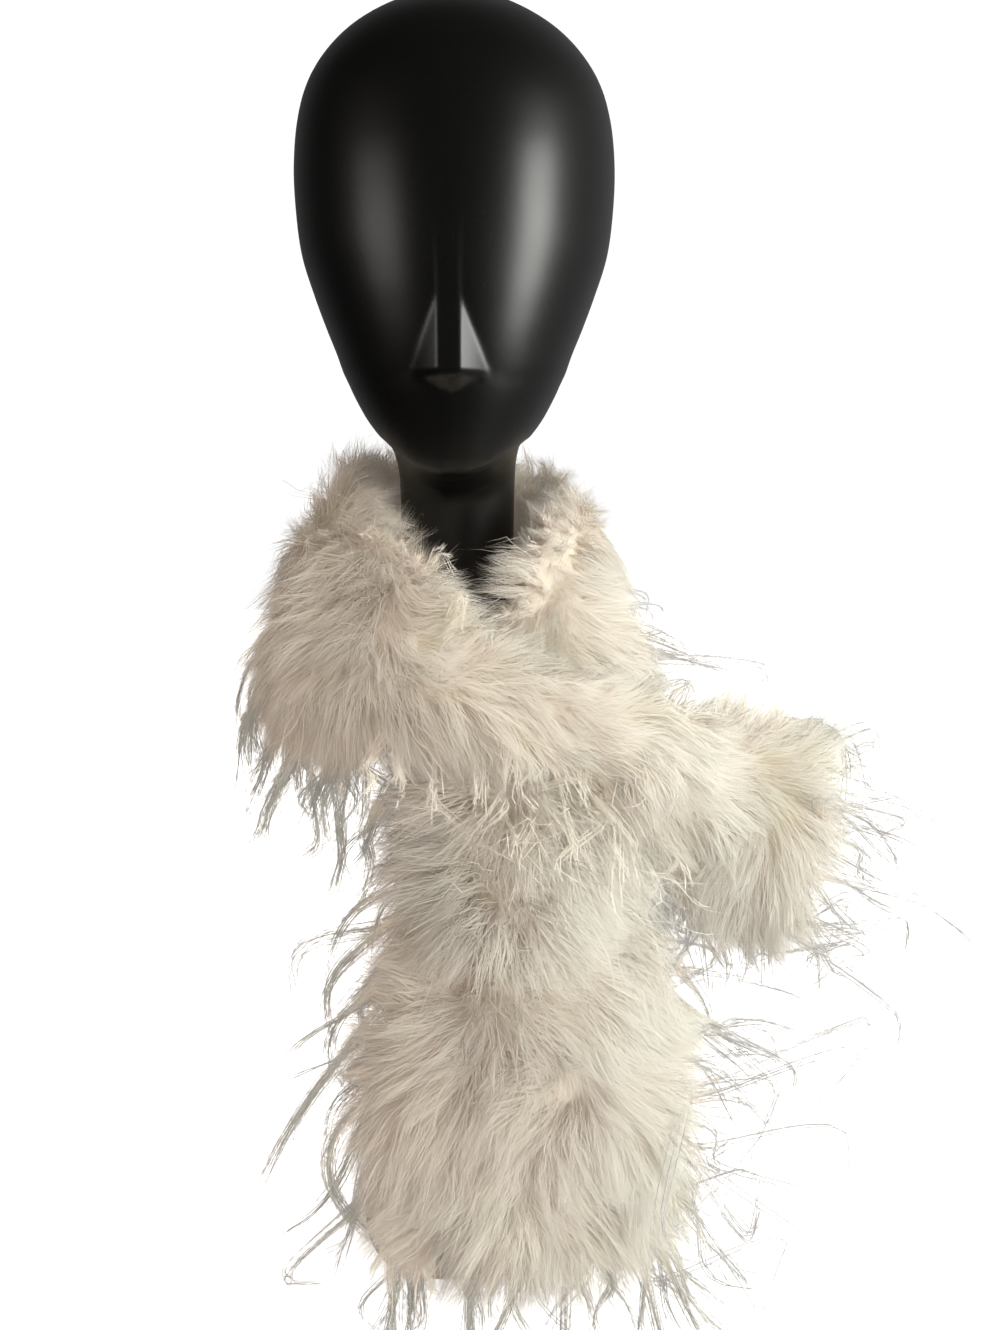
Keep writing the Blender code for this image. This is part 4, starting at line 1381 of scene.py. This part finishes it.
long_tufts = shelf_of("long_tuft", [long_tuft(300 + number) for number in range(TUFT_KINDS)])
for number, part in enumerate(PARTS):
    values = {"Density": 6000.0, "Length": 37 * MM, "Droop": 0.22, "Unruly": 0.45,
              "Clump": 0.0, "Press": 0.32, "Seed": 900 + number, "Tufts": long_tufts}
    piece = grow_on(part, part.replace("scarf", "barbs"), facing_share(0.7), ostrich_barbs, values)
    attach(piece, BODY)
    carried[part].append(piece)

# %% [markdown]
# The set
#
# The scarf stands on white paper in front of white. Real studios light such a thing with one large, soft lamp
# and white cards, and the glossy head mirrors whatever is round it. So each light is seen either by what is
# matt or by what is glossy: a key from the right, a weak top and a rim light the scarf, and two cards draw the
# long highlights on the head. The world does the rest, with one brightness for each kind of ray.

# %% Light the set
def area_light(name, place, aim, width, height, power, colour):
    data = bpy.data.lights.new(name, "AREA")
    data.shape = "RECTANGLE"
    data.size, data.size_y = width, height
    data.energy = power
    data.color = colour
    light = bpy.data.objects.new(name, data)
    light.location = place
    light.rotation_euler = (Vector(aim) - Vector(place)).to_track_quat("-Z", "Y").to_euler()
    bpy.context.scene.collection.objects.link(light)
    return light


key = area_light("key", (1.15, -1.15, 0.66), (0.03, -0.05, 0.36), 0.9, 0.9, 15.5, (0.96, 1.0, 0.93))
top = area_light("top", (0.6, -0.6, 2.0), (0.0, -0.1, 0.4), 1.2, 1.2, 3.0, (0.96, 1.0, 0.96))
rim = area_light("rim", (1.1, 1.0, 0.9), (0.0, 0.0, 0.5), 0.5, 1.4, 2.2, (1.0, 1.0, 1.0))
right_card = area_light("right_card", (1.42, -0.56, 0.66), (0.03, -0.05, 0.42), 0.60, 1.0, 25.0, (1.0, 1.0, 0.96))
left_card = area_light("left_card", (-1.2, -0.78, 0.70), (0.0, -0.05, 0.42), 0.75, 0.66, 4.6, (1.0, 0.95, 0.9))
for light in (key, top, rim):
    light.visible_glossy = False
for light in (right_card, left_card):
    light.visible_diffuse = False
print("lights:", key.name, top.name, rim.name, right_card.name, left_card.name)

# %% Light the world
# How bright the surroundings are: as a backdrop, as light on what is matt, and as a reflection in what is
# glossy. The light on what is matt comes mostly from one side, and is warmer on the other
WHITE_WORLD = 1.05
SOFT_WORLD = 0.80
SOFT_LEAST = 0.20
SOFT_FROM = (0.56, -0.60, 0.57)
SOFT_COOL = (1.0, 0.94, 0.89, 1)
SOFT_WARM = (1.0, 0.80, 0.66, 1)
DIM_WORLD = 0.012
BACKDROP_GLOW = 0.28
BACKDROP_AIM = (0.35, 0.85, -0.1)
BACKDROP_EDGE = -0.1


def make_world():
    world = bpy.data.worlds.new("studio")
    world.use_nodes = True
    graph = Graph(world.node_tree)
    background = world.node_tree.nodes["Background"]
    heading = graph.add("ShaderNodeTexCoord", out="Generated")
    side = graph.vector("DOT_PRODUCT", heading, SOFT_FROM, "Value") * 0.5 + 0.5
    soft = (SOFT_LEAST + side * (1 - SOFT_LEAST)) * SOFT_WORLD
    behind = clamped(graph, graph.vector("DOT_PRODUCT", heading, BACKDROP_AIM, "Value"), BACKDROP_EDGE)
    mirrored = DIM_WORLD + behind * BACKDROP_GLOW
    path = graph.add("ShaderNodeLightPath", out="Is Camera Ray")
    glossy = path.other("Is Glossy Ray")
    strength = soft * (1 - path) * (1 - glossy) + path * WHITE_WORLD + glossy * mirrored
    graph.tree.links.new(strength.socket, background.inputs["Strength"])
    matt = graph.mixed(side, SOFT_WARM, SOFT_COOL)
    colour = graph.mixed(path + glossy, matt, (1, 1, 1, 1))
    graph.tree.links.new(colour.socket, background.inputs["Color"])
    bpy.context.scene.world = world
    bpy.context.scene.view_settings.view_transform = "Standard"


make_world()
print("world:", bpy.context.scene.world.name)


# %% Lay the floor
def make_floor():
    """White paper, three metres each way."""
    corners = [(-3.0, -3.0, 0), (3.0, -3.0, 0), (3.0, 3.0, 0), (-3.0, 3.0, 0)]
    mesh = mesh_from("floor", corners, [(0, 1, 2, 3)])
    fixed = {"Roughness": 0.9, "Specular IOR Level": 0.1, "Emission Color": (1, 1, 1, 1), "Emission Strength": 0.85}
    material, graph, shader = start_material("floor_paper", fixed)
    grain = noise(graph, place_on_object(graph), 40.0)
    feed(graph, shader, Base_Color=graph.mixed(grain, (0.93, 0.93, 0.93, 1), (0.97, 0.97, 0.97, 1)))
    floor = show("floor", mesh, material)
    floor.visible_glossy = False
    floor.visible_diffuse = False


make_floor()
print("set lit")

# %% [markdown]
# The thickness of the cloth
#
# Each stretch is one sheet sewn into a tube, and its strip map is its girth by its length. The down and barbs
# that grow on it are listed with it. It gets its thickness last, inwards, so that nothing that grows on it moves.

CLOTH_THICK = 1.2 * MM

for part in PARTS:
    cloth, girth, length = cloths[part]
    wall = cloth.modifiers.new("wall", "SOLIDIFY")
    wall.thickness = CLOTH_THICK
    wall.offset = -1
    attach(cloth, BODY)
    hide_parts(part)
